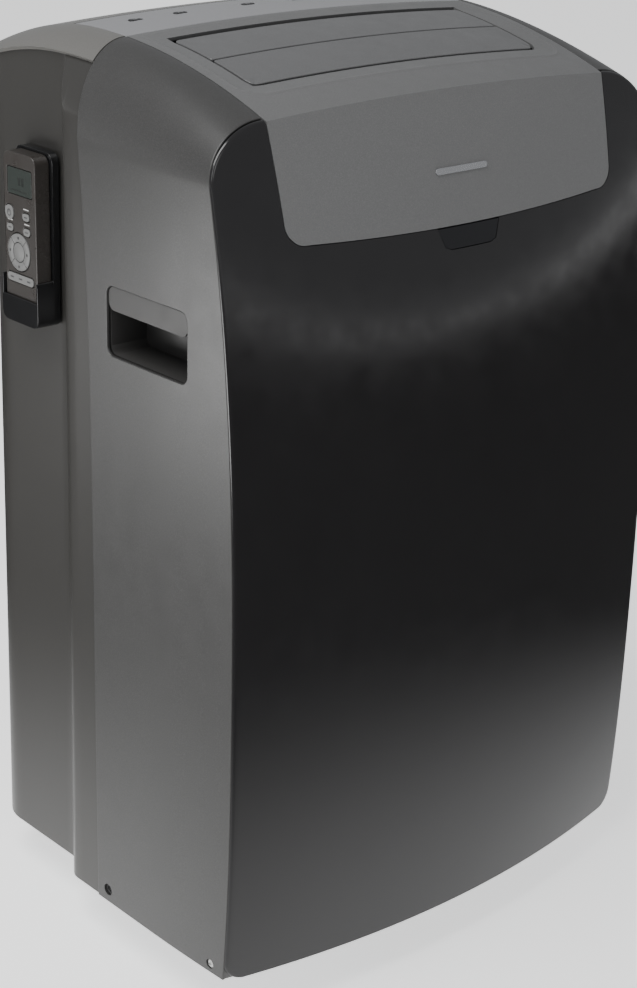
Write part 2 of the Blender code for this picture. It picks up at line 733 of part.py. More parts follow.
# ---------------------------------------------------------------- handles
def make_handles(mats):
    for side, name in ((-1, "left_handle_cup"), (1, "right_handle_cup")):
        rear = SIDE_REAR - HANDLE_FROM_REAR_EDGE
        front = rear - HANDLE_LENGTH
        top = SHOULDER - HANDLE_FROM_SHOULDER
        foot = top - HANDLE_HEIGHT
        mouth = side_x(front - WALL) - WALL - FIT
        deep = HALF_WIDTH - HANDLE_DEPTH
        outline = rounded_box(
            (front - WALL, foot - WALL), (rear + WALL, top + HANDLE_HEADROOM + WALL), 0.008
        )
        cup = add_object(name, prism(outline, "x", side * deep, side * mouth), mats["side"])
        pocket = rounded_box((front + FIT, foot + FIT), (rear - FIT, top + HANDLE_HEADROOM), 0.006)
        cut(cup, add_object(name + "_pocket_cut", prism(pocket, "x", side * (deep + WALL), side * FAR)))
        lip = rounded_box((front + FIT, top - HANDLE_LIP), (rear - FIT, top - FIT), HANDLE_CORNER - FIT, 4)
        outer = side_x(front) - 0.001
        join(cup, add_object(name + "_lip", prism(lip, "x", side * (mouth - 0.001), side * outer)))
        backing = block(
            (min(side * (mouth - 0.004), side * mouth), front - 0.001, top - HANDLE_LIP + 0.002),
            (max(side * (mouth - 0.004), side * mouth), rear + 0.001, top + HANDLE_HEADROOM + 0.001),
        )
        join(cup, add_object(name + "_backing", backing))


# ---------------------------------------------------------------- rear housing and what is fixed to it
def make_rear(mats):
    under_cap = casing_envelope("under_cap_guide", CAP_STEP, PANEL_FOOT)
    under_skin = casing_envelope("under_skin_guide", CAP_STEP + WALL, -0.06)
    hollow = add_object("housing_hollow", housing_solid(WALL, -FAR, -0.06))
    settle(keep_inside(hollow, under_skin))
    shell = housing_solid(0, SIDE_REAR - STRIP_TUCK, PANEL_FOOT)
    housing = add_object("rear_housing", shell, mats["housing"])
    keep_inside(housing, under_cap)
    access = block((-CREASE - 0.006, -FAR, SHOULDER), (CREASE + 0.006, REAR_WALL - 0.035, FAR))
    cut(housing, hollow, add_object("housing_access_cut", access))

    top = SHOULDER - 0.014
    make_grille(housing, mats, "upper_intake_grille", (PARTITION_HEIGHT + 0.045, top))
    make_grille(housing, mats, "lower_intake_grille", (PAN_BOTTOM + PAN_RIM + 0.012, exhaust_height() - 0.1))
    make_exhaust(housing, mats)
    make_drains(housing, mats)
    make_gland(housing, mats)


def exhaust_height():
    return PARTITION_HEIGHT - 0.006 - EXHAUST_FLANGE - EXHAUST_RADIUS


def make_grille(housing, mats, name, span):
    """Flat grille in a window of the rear wall, with three columns of slots."""
    low, high = span
    side = GRILLE_HALF_WIDTH + FIT
    window = rounded_box((-side, low - FIT), (side, high + FIT), GRILLE_CORNER)
    cut(housing, add_object(name + "_window_cut", prism(window, "y", 0, FAR)))
    outline = rounded_box((-GRILLE_HALF_WIDTH, low), (GRILLE_HALF_WIDTH, high), GRILLE_CORNER)
    front = REAR_WALL - WALL + 0.001
    grille = add_object(name, prism(outline, "y", front, front + GRILLE_PLATE), mats["housing"])
    column = (2 * GRILLE_HALF_WIDTH - 4 * GRILLE_BORDER) / 3
    rows = int((high - low - 2 * GRILLE_BORDER + GRILLE_PITCH - GRILLE_SLOT) / GRILLE_PITCH)
    slots = bmesh.new()
    for row in range(rows):
        foot = low + GRILLE_BORDER + row * GRILLE_PITCH
        for place in range(3):
            left = -GRILLE_HALF_WIDTH + GRILLE_BORDER + place * (column + GRILLE_BORDER)
            block((left, front - 0.01, foot), (left + column, front + 0.02, foot + GRILLE_SLOT), slots)
    cut(grille, add_object(name + "_slots_cut", slots))
    if name.startswith("upper"):
        make_filter(mats, front - FIT, low, high)


def make_filter(mats, back, low, high):
    """Frame behind the upper grille, with a recessed cell for each stretch of mesh."""
    side = GRILLE_HALF_WIDTH - FILTER_BORDER
    foot, top = low + FILTER_BORDER, high - FILTER_BORDER
    frame = block((-side, back - FILTER_THICKNESS, foot), (side, back, top))
    mesh = add_object("upper_filter", frame, mats["filter"])
    cells = bmesh.new()
    width = (2 * side - FILTER_RIB) / FILTER_CELLS
    for cell in range(FILTER_CELLS):
        left = -side + FILTER_RIB + cell * width
        near, far = back - FILTER_RECESS, back + 0.01
        right = left + width - FILTER_RIB
        block((left, near, foot + FILTER_BORDER), (right, far, top - FILTER_BORDER), cells)
    cut(mesh, add_object("filter_cells_cut", cells))


def make_exhaust(housing, mats):
    centre = (0, 0, exhaust_height())
    hole = rod(EXHAUST_RADIUS + FIT, (0, 1, 0), (0, 0.05, centre[2]), FAR, 24)
    cut(housing, add_object("exhaust_cut", hole))
    inner = EXHAUST_RADIUS - EXHAUST_WALL
    seat = REAR_WALL + FIT
    profile = (
        (inner, seat - EXHAUST_LENGTH),
        (EXHAUST_RADIUS, seat - EXHAUST_LENGTH),
        (EXHAUST_RADIUS, seat),
        (EXHAUST_RADIUS + EXHAUST_FLANGE, seat),
        (EXHAUST_RADIUS + EXHAUST_FLANGE, seat + EXHAUST_RIM),
        (EXHAUST_RADIUS, seat + EXHAUST_RIM),
        (EXHAUST_RADIUS, REAR),
        (inner, REAR),
    )
    add_object("exhaust_collar", turned(profile, (0, 1, 0), centre, 24), mats["housing"])


def make_drains(housing, mats):
    places = (
        ("upper_drain_plug", UPPER_DRAIN, PARTITION_HEIGHT, DRAIN_RADIUS),
        ("lower_drain_plug", LOWER_DRAIN, PAN_BOTTOM, LOWER_DRAIN_RADIUS),
    )
    for name, (x, rise), floor, radius in places:
        z = floor + rise
        hole = rod(radius + FIT, (0, 1, 0), (x, 0.15, z), 0.2, 20)
        cut(housing, add_object(name + "_cut", hole))
        start = REAR_WALL - DRAIN_PLUG_INSIDE
        length = DRAIN_PLUG_INSIDE + FIT + DRAIN_PLUG_OUTSIDE
        body = rod(radius, (0, 1, 0), (x, start, z), length, 20)
        plug = add_object(name, body, mats["rubber"], (x, REAR_WALL, z))
        rim = rod(radius + DRAIN_RIM, (0, 1, 0), (x, REAR_WALL + FIT, z), DRAIN_RIM_THICKNESS, 20)
        join(plug, add_object(name + "_rim", rim))


def make_gland(housing, mats):
    x, z = GLAND_SIDE, PAN_BOTTOM + PAN_RIM + GLAND_RISE
    hole = rod(GLAND_BODY + FIT, (0, 1, 0), (x, 0.15, z), 0.2, 20)
    cut(housing, add_object("gland_cut", hole))
    profile = (
        (GLAND_BORE, REAR_WALL - 0.012),
        (GLAND_BODY, REAR_WALL - 0.012),
        (GLAND_BODY, REAR_WALL + FIT),
        (GLAND_RIM, REAR_WALL + FIT),
        (GLAND_TIP, REAR - 0.001),
        (GLAND_BORE, REAR - 0.001),
    )
    add_object("cord_gland", turned(profile, (0, 1, 0), (x, 0, z), 16), mats["rubber"])


# ---------------------------------------------------------------- remote and holder
def make_remote(mats):
    face = -(HALF_WIDTH - REMOTE_RECESS)
    back = face + REMOTE_THICKNESS
    middle = SIDE_REAR + REMOTE_BEHIND_EDGE
    top = SHOULDER - REMOTE_FROM_SHOULDER
    foot = top - REMOTE_HEIGHT
    half = REMOTE_WIDTH / 2
    pivot = (face, middle, (top + foot) / 2)
    outline = rounded_box((middle - half, foot), (middle + half, top), REMOTE_CORNER)
    case = add_object("remote_case", prism(outline, "x", face, back), mats["remote"], pivot)
    proud, sunk = face - REMOTE_KEY_PROUD, face + REMOTE_KEY_SUNK
    for name, aside, drop, half_wide, half_tall in REMOTE_KEYS:
        y, z = middle + aside, top - drop
        radius = min(half_wide, half_tall) - 0.0002
        well = rounded_box(*around((y, z), half_wide + FIT, half_tall + FIT), radius)
        remote_well(case, name, well, face)
        shape = rounded_box(*around((y, z), half_wide, half_tall), radius)
        add_object(name, prism(shape, "x", proud, sunk), mats["remote_key"], (face, y, z))
    ring = (middle + REMOTE_RING[0], top - REMOTE_RING[1])
    remote_well(case, "remote_ring_key", arc(ring, REMOTE_RING_RADIUS + 2 * FIT, 0, 345, 23), face)
    profile = (
        (REMOTE_RING_BORE, -REMOTE_KEY_SUNK),
        (REMOTE_RING_RADIUS, -REMOTE_KEY_SUNK),
        (REMOTE_RING_RADIUS, REMOTE_KEY_PROUD),
        (REMOTE_RING_BORE, REMOTE_KEY_PROUD),
    )
    bm = turned(profile, (-1, 0, 0), (face, *ring), 24)
    add_object("remote_ring_key", bm, mats["remote_key"], (face, *ring))
    bm = rod(REMOTE_CENTRE_RADIUS, (-1, 0, 0), (sunk, *ring), REMOTE_KEY_SUNK + REMOTE_KEY_PROUD, 20)
    add_object("remote_centre_key", bm, mats["remote_key"], (face, *ring))
    screen_middle = (middle, top - SCREEN_FROM_TOP - SCREEN_HEIGHT / 2)
    screen = rounded_box(*around(screen_middle, SCREEN_HALF_WIDTH, SCREEN_HEIGHT / 2), 0.0015, 2)
    well = rounded_box(*around(screen_middle, SCREEN_HALF_WIDTH + FIT, SCREEN_HEIGHT / 2 + FIT), 0.0015, 2)
    remote_well(case, "remote_screen", well, face)
    add_object("remote_screen", prism(screen, "x", face + 0.0002, face + 0.0016), mats["screen"], pivot)
    make_holder(mats, face, back, middle, foot)


def remote_well(case, name, outline, face):
    """Blind recess in the remote's face, deep enough for the key's travel."""
    cutter = prism(outline, "x", face - 0.01, face + REMOTE_KEY_TRAVEL_ROOM)
    cut(case, add_object(name + "_well_cut", cutter))


def make_holder(mats, face, back, middle, foot):
    """Open cup that takes the remote's foot, with a back plate shaped to the housing's side."""
    reach = REMOTE_WIDTH / 2 + HOLDER_PLAY + HOLDER_WALL
    low = foot - HOLDER_PLAY - HOLDER_FLOOR
    cup_top = low + HOLDER_CUP_HEIGHT
    outer = -(HALF_WIDTH - 0.0002)
    plate_top = foot + REMOTE_HEIGHT + HOLDER_ABOVE_REMOTE
    plate = rounded_box((middle - reach, low), (middle + reach, plate_top), HOLDER_CORNER)
    holder = add_object("remote_holder", prism(plate, "x", back + FIT, back + 0.03), mats["holder"])
    cup = rounded_box((middle - reach, low), (middle + reach, cup_top), HOLDER_CORNER)
    wall = prism(cup, "x", outer, back + FIT + 0.001)
    join(holder, add_object("holder_cup", wall))
    inner = REMOTE_WIDTH / 2 + HOLDER_PLAY
    room = block((face - 0.0005, middle - inner, low + HOLDER_FLOOR), (back + FIT, middle + inner, FAR))
    cover_top = low + HOLDER_FLOOR + HOLDER_COVER_HEIGHT
    mouth = block((-FAR, middle - inner, cover_top), (back + FIT, middle + inner, FAR))
    housing = add_object("holder_seat_guide", housing_solid(-FIT, SIDE_REAR - 0.02, 0))
    cut(holder, add_object("holder_room_cut", room), add_object("holder_mouth_cut", mouth), housing)


# ---------------------------------------------------------------- base, castors and screws
def make_base(mats):
    inset = WALL + 0.0012
    front = seam_y(PAN_BOTTOM) + PAN_BEHIND_SEAM
    levels = (PAN_BOTTOM, PAN_BOTTOM + PAN_RIM)
    outline = housing_outline(levels[1], inset, front)
    pan = add_object("base_pan", prism(outline, "z", *levels), mats["steel"])
    hollow = housing_outline(levels[1], inset + 0.003, front + 0.003)
    cut(pan, add_object("pan_hollow_cut", prism(hollow, "z", PAN_BOTTOM + PAN_FLOOR, FAR)))
    notch_start = (LOWER_DRAIN[0], 0.15, PAN_BOTTOM + LOWER_DRAIN[1])
    notch = rod(LOWER_DRAIN_RADIUS + FIT, (0, 1, 0), notch_start, 0.2, 20)
    cut(pan, add_object("pan_drain_cut", notch))
    places = (
        ("front_left", -CASTOR_SIDE, FRONT + CASTOR_FROM_FRONT),
        ("front_right", CASTOR_SIDE, FRONT + CASTOR_FROM_FRONT),
        ("rear_left", -CASTOR_SIDE, REAR - CASTOR_FROM_REAR),
        ("rear_right", CASTOR_SIDE, REAR - CASTOR_FROM_REAR),
    )
    for name, x, y in places:
        hole = rod(STEM_RADIUS + FIT, (0, 0, 1), (x, y, PAN_BOTTOM - 0.01), 0.02, 16)
        cut(pan, add_object(name + "_stem_cut", hole))
        make_castor(mats, name, x, y)


def make_castor(mats, name, x, y):
    wheel_y = y + CASTOR_TRAIL
    top = PAN_BOTTOM - FIT
    crown_foot = 2 * WHEEL_RADIUS + CROWN_OVER_WHEEL
    inner = WHEEL_WIDTH / 2 + FORK_PLAY
    outer = inner + FORK_ARM
    crown = block((x - outer, y - CROWN_FRONT, crown_foot), (x + outer, wheel_y + CROWN_REAR, top))
    fork = add_object(name + "_castor_fork", crown, mats["castor"], (x, y, top))
    arm = FORK_ARM_HALF
    for index, (low, high) in enumerate(((-outer, -inner), (inner, outer))):
        shape = [(wheel_y - arm, crown_foot + 0.001), *arc((wheel_y, WHEEL_RADIUS), arm, 180, 360, 6)]
        shape.append((wheel_y + arm, crown_foot + 0.001))
        join(fork, add_object(f"{name}_arm_{index}", prism(shape, "x", x + low, x + high)))
    axle = rod(AXLE_RADIUS, (1, 0, 0), (x - inner - 0.001, wheel_y, WHEEL_RADIUS), 2 * inner + 0.002, 16)
    stem = rod(STEM_RADIUS, (0, 0, 1), (x, y, top - 0.001), PAN_FLOOR + 0.001, 16)
    join(fork, add_object(name + "_axle", axle), add_object(name + "_stem", stem))
    half = WHEEL_WIDTH / 2
    bore = (AXLE_RADIUS + AXLE_CLEARANCE) / math.cos(math.pi / STEM_SEGMENTS)
    tread = WHEEL_RADIUS / math.cos(math.pi / STEM_SEGMENTS)
    profile = (
        (bore, -half),
        (tread - TREAD_ROUND, -half),
        (tread, -half + TREAD_ROUND),
        (tread, half - TREAD_ROUND),
        (tread - TREAD_ROUND, half),
        (bore, half),
    )
    centre = (x, wheel_y, WHEEL_RADIUS)
    add_object(name + "_castor_wheel", turned(profile, (1, 0, 0), centre, 16), mats["rubber"], centre)


def make_screws(mats):
    for side, side_name in ((-1, "left"), (1, "right")):
        for place, (y, z) in zip(("rear", "front"), side_screw_places()):
            start = (side * (HALF_WIDTH - 0.0085), y, z)
            length = 0.0072 if place == "front" else 0.0050
            bm = rod(SCREW_RADIUS, (side, 0, 0), start, length, 12)
            add_object(f"{side_name}_{place}_screw", bm, mats["steel" if place == "front" else "rubber"])


# ---------------------------------------------------------------- works inside
def make_works(mats):
    inside = HALF_WIDTH - REAR_SIDE_INSET - REAR_SIDE_LEAN - WALL - 0.003
    floor = PAN_BOTTOM + PAN_FLOOR + FIT
    coil_rear = REAR_WALL - WALL - 0.008
    coil_front = coil_rear - COIL_THICKNESS
    corner = REAR_CORNER - 0.008
    plan = rounded_box((-inside, FRONT + 0.062), (inside, coil_rear), corner)
    tray = prism(plan, "z", PARTITION_HEIGHT, PARTITION_HEIGHT + TRAY_DEPTH)
    tray_obj = add_object("condensate_tray", tray, mats["inner"])
    hollow_low = (-inside + TRAY_WALL, FRONT + 0.062 + TRAY_WALL)
    hollow_high = (inside - TRAY_WALL, coil_rear - TRAY_WALL)
    plan = rounded_box(hollow_low, hollow_high, corner - TRAY_WALL)
    cut(tray_obj, add_object("tray_hollow_cut", prism(plan, "z", PARTITION_HEIGHT + TRAY_WALL, FAR)))
    duct_foot = SHOULDER - DUCT_BELOW_SHOULDER
    evaporator = (PARTITION_HEIGHT + TRAY_WALL + FIT, duct_foot)
    condenser = (floor, exhaust_height() - EXHAUST_RADIUS - 0.012)
    coil_side = GRILLE_HALF_WIDTH + COIL_OVERLAP
    for name, (low, high) in (("evaporator_coil", evaporator), ("condenser_coil", condenser)):
        rear = coil_rear - 0.004
        coil = block((-coil_side, rear - COIL_THICKNESS, low), (coil_side, rear, high))
        obj = add_object(name, coil, mats["steel"])
        fins = bmesh.new()
        face = rear - COIL_THICKNESS
        for place in range(FIN_GROOVES):
            x = -coil_side + 0.012 + place * (2 * coil_side - 0.024) / (FIN_GROOVES - 0.2)
            block((x, face - 0.01, low + 0.006), (x + FIN_GROOVE_WIDTH, face + 0.004, high - 0.006), fins)
        cut(obj, add_object(name + "_fins_cut", fins))
    chambers = (
        ("upper", 0.0, PARTITION_HEIGHT + 0.016, duct_foot),
        ("lower", -0.075, floor, floor + COMPRESSOR_HEIGHT),
    )
    wheel_rear = coil_front - 0.004 - BLOWER_CLEARANCE
    for name, x, low, high in chambers:
        radius = (high - low) / 2 - BLOWER_CLEARANCE
        make_blower(mats, name, (x, wheel_rear, (low + high) / 2), radius)
    compressor = (
        (0, 0),
        (COMPRESSOR_RADIUS + 0.012, 0),
        (COMPRESSOR_RADIUS + 0.012, 0.004),
        (COMPRESSOR_RADIUS, 0.006),
        (COMPRESSOR_RADIUS, COMPRESSOR_HEIGHT - 0.03),
        (COMPRESSOR_RADIUS * 0.7, COMPRESSOR_HEIGHT - 0.008),
        (0, COMPRESSOR_HEIGHT),
    )
    place = (HALF_WIDTH - 0.115, FRONT + 0.135, floor)
    add_object("compressor", turned_solid(compressor, place), mats["black"])
    box = block(
        (HALF_WIDTH - 0.100, SIDE_REAR - 0.08, PARTITION_HEIGHT + 0.016),
        (HALF_WIDTH - 0.030, SIDE_REAR - 0.005, SHOULDER - HANDLE_FROM_SHOULDER - HANDLE_HEIGHT - 0.012),
    )
    add_object("control_box", box, mats["inner"])


def turned_solid(profile, centre):
    """Bmesh turned about a vertical axis that the profile starts and ends on."""
    return turned(profile, (0, 0, 1), centre, 24)


def make_blower(mats, name, rear_centre, radius):
    """Drum wheel open towards the coil, and the motor whose shaft carries it."""
    x, rear, z = rear_centre
    front = rear - BLOWER_LENGTH
    bore = (SHAFT_RADIUS + SHAFT_CLEARANCE) / math.cos(math.pi / 20)
    profile = (
        (bore, front),
        (radius, front),
        (radius, rear),
        (radius - BLOWER_WALL, rear),
        (radius - BLOWER_WALL, front + BLOWER_BACK),
        (BLOWER_HUB, front + BLOWER_BACK),
        (BLOWER_HUB - 0.002, front + BLOWER_HUB_LENGTH),
        (bore, front + BLOWER_HUB_LENGTH),
    )
    drum = turned(profile, (0, 1, 0), (x, 0, z))
    wheel = add_object(f"{name}_blower_wheel", drum, mats["black"], (x, front, z))
    slots = bmesh.new()
    for place in range(BLOWER_SLOTS):
        turn = Matrix.Rotation(math.tau * (place + 0.5) / BLOWER_SLOTS, 4, "Y")
        low, high = (radius - 0.02, front + 0.006, -0.006), (radius + 0.01, rear - 0.006, 0.006)
        made = block(low, high, bmesh.new())
        bmesh.ops.transform(made, matrix=Matrix.Translation((x, 0, z)) @ turn, verts=made.verts)
        mesh = bpy.data.meshes.new("slot")
        made.to_mesh(mesh)
        made.free()
        slots.from_mesh(mesh)
    cut(wheel, add_object(f"{name}_wheel_slots_cut", slots))
    back = front - 0.006
    profile = (
        (0, back - MOTOR_LENGTH),
        (MOTOR_RADIUS, back - MOTOR_LENGTH),
        (MOTOR_RADIUS, back),
        (SHAFT_RADIUS, back),
        (SHAFT_RADIUS, front + 0.012),
        (0, front + 0.012),
    )
    add_object(f"{name}_fan_motor", turned(profile, (0, 1, 0), (x, 0, z)), mats["steel"])


def main():
    clear_scene()
    mats = {
        "front": plastic("gloss_black_front", (0.018, 0.017, 0.018), 0.15),
        "side": plastic("graphite_side", (0.085, 0.083, 0.081), 0.35),
        "top": plastic("grey_top", (0.13, 0.13, 0.13), 0.4),
        "deck": plastic("grey_deck", (0.22, 0.22, 0.225), 0.25),
        "housing": plastic("grey_housing", (0.10, 0.098, 0.093), 0.4),
        "window": plastic("dark_window", (0.008, 0.008, 0.009), 0.1),
        "key": plastic("deck_key", (0.06, 0.06, 0.06), 0.4),
        "inner": plastic("inner_grey", (0.05, 0.05, 0.05), 0.6),
        "filter": plastic("filter_grey", (0.03, 0.03, 0.03), 0.7),
        "rubber": plastic("soft_black", (0.02, 0.02, 0.02), 0.7),
        "steel": plastic("bare_steel", (0.45, 0.45, 0.45), 0.35, 1.0),
        "castor": plastic("castor_black", (0.03, 0.03, 0.03), 0.5),
        "remote": plastic("remote_brown", (0.07, 0.06, 0.053), 0.35),
        "remote_key": plastic("remote_key_grey", (0.35, 0.35, 0.34), 0.4),
        "screen": plastic("screen_green_grey", (0.10, 0.11, 0.10), 0.2),
        "holder": plastic("holder_black", (0.012, 0.012, 0.013), 0.2),
        "black": plastic("works_black", (0.02, 0.02, 0.02), 0.5),
    }
    make_covers(mats)
    make_outlet(mats)
    make_handles(mats)
    make_rear(mats)
    make_remote(mats)
    make_base(mats)
    make_screws(mats)
    make_works(mats)


main()
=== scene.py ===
import math

import bmesh
import bpy
from mathutils import Matrix, Vector


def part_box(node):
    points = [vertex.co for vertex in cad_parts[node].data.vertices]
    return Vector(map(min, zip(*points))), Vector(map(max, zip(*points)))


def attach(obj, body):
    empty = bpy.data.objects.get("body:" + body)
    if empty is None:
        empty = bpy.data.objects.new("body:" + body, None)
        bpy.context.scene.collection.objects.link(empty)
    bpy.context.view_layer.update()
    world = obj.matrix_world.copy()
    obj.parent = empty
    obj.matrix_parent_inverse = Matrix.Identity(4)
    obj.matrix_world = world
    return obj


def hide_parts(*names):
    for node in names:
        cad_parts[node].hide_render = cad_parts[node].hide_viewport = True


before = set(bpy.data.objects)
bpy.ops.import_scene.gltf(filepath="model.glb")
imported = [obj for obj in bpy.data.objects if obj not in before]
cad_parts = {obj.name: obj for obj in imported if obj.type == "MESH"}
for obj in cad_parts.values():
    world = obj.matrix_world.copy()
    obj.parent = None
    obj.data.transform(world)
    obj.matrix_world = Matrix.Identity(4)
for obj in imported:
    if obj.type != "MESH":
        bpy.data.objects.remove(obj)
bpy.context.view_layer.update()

# ---------------------------------------------------------------- studio
# A pale lit floor, soft boxes and an even pale surround. One dark flag, seen only in reflections,
# lies just over the floor and fades out near the casing. It keeps the gloss panels from mirroring
# the pale floor.


def standing_material(name, colour, roughness):
    mat = bpy.data.materials.new(name)
    mat.use_nodes = True
    shader = mat.node_tree.nodes["Principled BSDF"]
    shader.inputs["Base Color"].default_value = (*colour, 1)
    shader.inputs["Roughness"].default_value = roughness
    return mat


def flat_board(name, width, length, matrix, material):
    bm = bmesh.new()
    bmesh.ops.create_grid(bm, x_segments=1, y_segments=1, size=0.5)
    bmesh.ops.scale(bm, vec=(width, length, 1), verts=bm.verts)
    bmesh.ops.transform(bm, matrix=matrix, verts=bm.verts)
    mesh = bpy.data.meshes.new(name)
    bm.to_mesh(mesh)
    bm.free()
    board = bpy.data.objects.new(name, mesh)
    bpy.context.scene.collection.objects.link(board)
    mesh.materials.append(material)
    return board


def soft_box(name, place, aim, size, watts):
    data = bpy.data.lights.new(name, "AREA")
    data.shape = "RECTANGLE"
    data.size, data.size_y = size
    data.energy = watts
    lamp = bpy.data.objects.new(name, data)
    lamp.location = place
    lamp.rotation_euler = (Vector(aim) - Vector(place)).to_track_quat("-Z", "Y").to_euler()
    lamp.visible_camera = False
    bpy.context.scene.collection.objects.link(lamp)
    return lamp


pale_floor = standing_material("pale_floor", (0.88, 0.88, 0.875), 0.7)
pale_floor.node_tree.nodes["Principled BSDF"].inputs["Emission Color"].default_value = (1, 1, 1, 1)
pale_floor.node_tree.nodes["Principled BSDF"].inputs["Emission Strength"].default_value = 0.95
flat_board("floor", 40, 40, Matrix(), pale_floor)

flag_black = bpy.data.materials.new("flag_black")
flag_black.use_nodes = True
flag_nodes, flag_links = flag_black.node_tree.nodes, flag_black.node_tree.links
flag_nodes["Principled BSDF"].inputs["Base Color"].default_value = (0, 0, 0, 1)
flag_nodes["Principled BSDF"].inputs["Specular IOR Level"].default_value = 0
place = flag_nodes.new("ShaderNodeTexCoord")
distance = flag_nodes.new("ShaderNodeVectorMath")
distance.operation = "LENGTH"
flag_links.new(place.outputs["Object"], distance.inputs[0])
fade = flag_nodes.new("ShaderNodeMapRange")
fade.interpolation_type = "SMOOTHSTEP"
fade.inputs["From Min"].default_value = 0.10
fade.inputs["From Max"].default_value = 0.85
fade.inputs["To Max"].default_value = 0.97
flag_links.new(distance.outputs["Value"], fade.inputs["Value"])
flag_links.new(fade.outputs["Result"], flag_nodes["Principled BSDF"].inputs["Alpha"])
flag = flat_board("reflection_flag", 14, 14, Matrix.Translation((0, 0, 0.004)), flag_black)
flag.visible_camera = flag.visible_diffuse = flag.visible_shadow = flag.visible_transmission = False

surround = bpy.data.worlds.new("surround")
surround.use_nodes = True
surround.node_tree.nodes["Background"].inputs["Color"].default_value = (0.95, 0.97, 1, 1)
surround.node_tree.nodes["Background"].inputs["Strength"].default_value = 0.36
bpy.context.scene.world = surround

soft_box("overhead_box", (-1.0, -0.1, 2.2), (0, 0, 0.5), (1.2, 1.2), 36)
soft_box("left_box", (-2.2, -1.3, 1.9), (0, 0, 0.45), (0.7, 1.0), 9)
soft_box("low_box", (-1.15, 0.45, 0.22), (-0.1, 0.15, 0.05), (0.9, 0.3), 7)
soft_box("front_box", (-0.4, -2.6, 1.9), (0, 0, 0.4), (1.2, 1.0), 9)

view_azimuth, view_elevation, view_roll = math.radians(41.9751), math.radians(21.3196), math.radians(
    1.5007
)
view_target, view_distance = Vector((0.0029, 0, 0.3536)), 1.7961
back = Vector(
    (
        -math.sin(view_azimuth) * math.cos(view_elevation),
        -math.cos(view_azimuth) * math.cos(view_elevation),
        math.sin(view_elevation),
    )
)
level = Vector((math.cos(view_azimuth), -math.sin(view_azimuth), 0))
upright = back.cross(level)
across = level * math.cos(view_roll) + upright * math.sin(view_roll)
above = upright * math.cos(view_roll) - level * math.sin(view_roll)
camera_data = bpy.data.cameras.new("camera")
camera_data.sensor_width = 36
camera_data.lens = 75.54
camera = bpy.data.objects.new("camera", camera_data)
camera.matrix_world = Matrix.Translation(
    view_target + back * view_distance
) @ Matrix((across, above, back)).transposed().to_4x4()
bpy.context.scene.collection.objects.link(camera)
bpy.context.scene.camera = camera

# ---------------------------------------------------------------- front panel
# One injection-moulded sheet of high-gloss ABS that bows forward between the side panels. Two horns
# run up beside the visor, and its outer edge is rolled back so that it catches a fine line of
# light.
half_width, shoulder, crease, panel_foot = 0.2325, 0.68, 0.1775, 0.042
seam_front, front_lean, belly = -0.1697, 0.0285, 0.28
front_bulge, top_bulge = 0.0288, 0.004
seam = 0.0005
wall = 0.0028
visor_foot, visor_sag, visor_taper, visor_corner = 0.6278, 0.004, 0.0045, 0.016
crease_end = 0.7213
corner, roll = 0.016, 0.0022
crown = 0.006
crease_top_y, crease_top_z = 0.0725, 0.759
crease_front_drop, crease_front_run = 0.0377, 0.2035
crease_rear_drop, crease_rear_run = 0.031, 0.126


def mixed(a, b, share):
    return a + (b - a) * share


def held(value, low=0.0, high=1.0):
    return min(max(value, low), high)


def seam_y(z):
    return seam_front + front_lean * (abs(z - belly) / (shoulder - belly)) ** 2.6


def front_y(x, z):
    rise = held((z - belly) / (crease_end - belly))
    bulge = mixed(front_bulge, top_bulge, rise**3)
    return seam_y(z) - bulge * (1 - (x / (half_width - 0.002)) ** 2)


def crease_z(y):
    """Height of the crease where a side's round shoulder meets the crowned top."""
    if y < crease_top_y:
        return crease_top_z - crease_front_drop * ((crease_top_y - y) / crease_front_run) ** 2
    return crease_top_z - crease_rear_drop * ((y - crease_top_y) / crease_rear_run) ** 2


def side_x(y):
    return half_width - 0.002 * (max(-0.06 - y, 0) / 0.09) ** 2


def casing_z(x, y):
    """Height of the casing's outer surface over a point in plan."""
    if abs(x) <= crease:
        return crease_z(y) + crown * (1 - (x / crease) ** 2)
    share = held((abs(x) - crease) / (side_x(y) - crease))
    return shoulder + (crease_z(y) - shoulder) * math.sqrt(1 - share**2)


def lines(start, *spans):
    """Places of grid lines from start through the end of each span, at about that span's pitch."""
    places = [start]
    for end, pitch in spans:
        first = places[-1]
        count = max(1, round(abs(end - first) / pitch))
        places += [mixed(first, end, step / count) for step in range(1, count + 1)]
    return places


def both_ways(right):
    return [-place for place in reversed(right[1:])] + right


def sheet(columns, rows, place, facing):
    """Quads between grid lines, each corner where place puts it, with the faces turned to the
    facing direction."""
    bm = bmesh.new()
    wide, tall = len(columns) - 1, len(rows) - 1
    bmesh.ops.create_grid(bm, x_segments=wide, y_segments=tall, size=1)
    for vert in bm.verts:
        column, row = round((vert.co.x + 1) / 2 * wide), round((vert.co.y + 1) / 2 * tall)
        vert.co = place(columns[column], rows[row])
    bm.normal_update()
    if sum(face.normal.dot(facing) * face.calc_area() for face in bm.faces) < 0:
        bmesh.ops.reverse_faces(bm, faces=bm.faces)
    return bm


def remove_where(bm, inside):
    doomed = [face for face in bm.faces if inside(face.calc_center_median())]
    bmesh.ops.delete(bm, geom=doomed, context="FACES")


def round_corner(bm, centre, radius, axes, signs, filled=False):
    """Rounds a square corner that lies beyond the centre in the directions of the signs: of a
    filled sheet, or by its edge alone where the corner is an opening's."""
    a, b = axes
    for vert in bm.verts:
        along, up = (vert.co[a] - centre[0]) * signs[0], (vert.co[b] - centre[1]) * signs[1]
        if 0 < along < radius * 1.05 and 0 < up < radius * 1.05 and (filled or vert.is_boundary):
            share = max(along, up) / math.hypot(along, up)
            vert.co[a] = centre[0] + along * signs[0] * share
            vert.co[b] = centre[1] + up * signs[1] * share


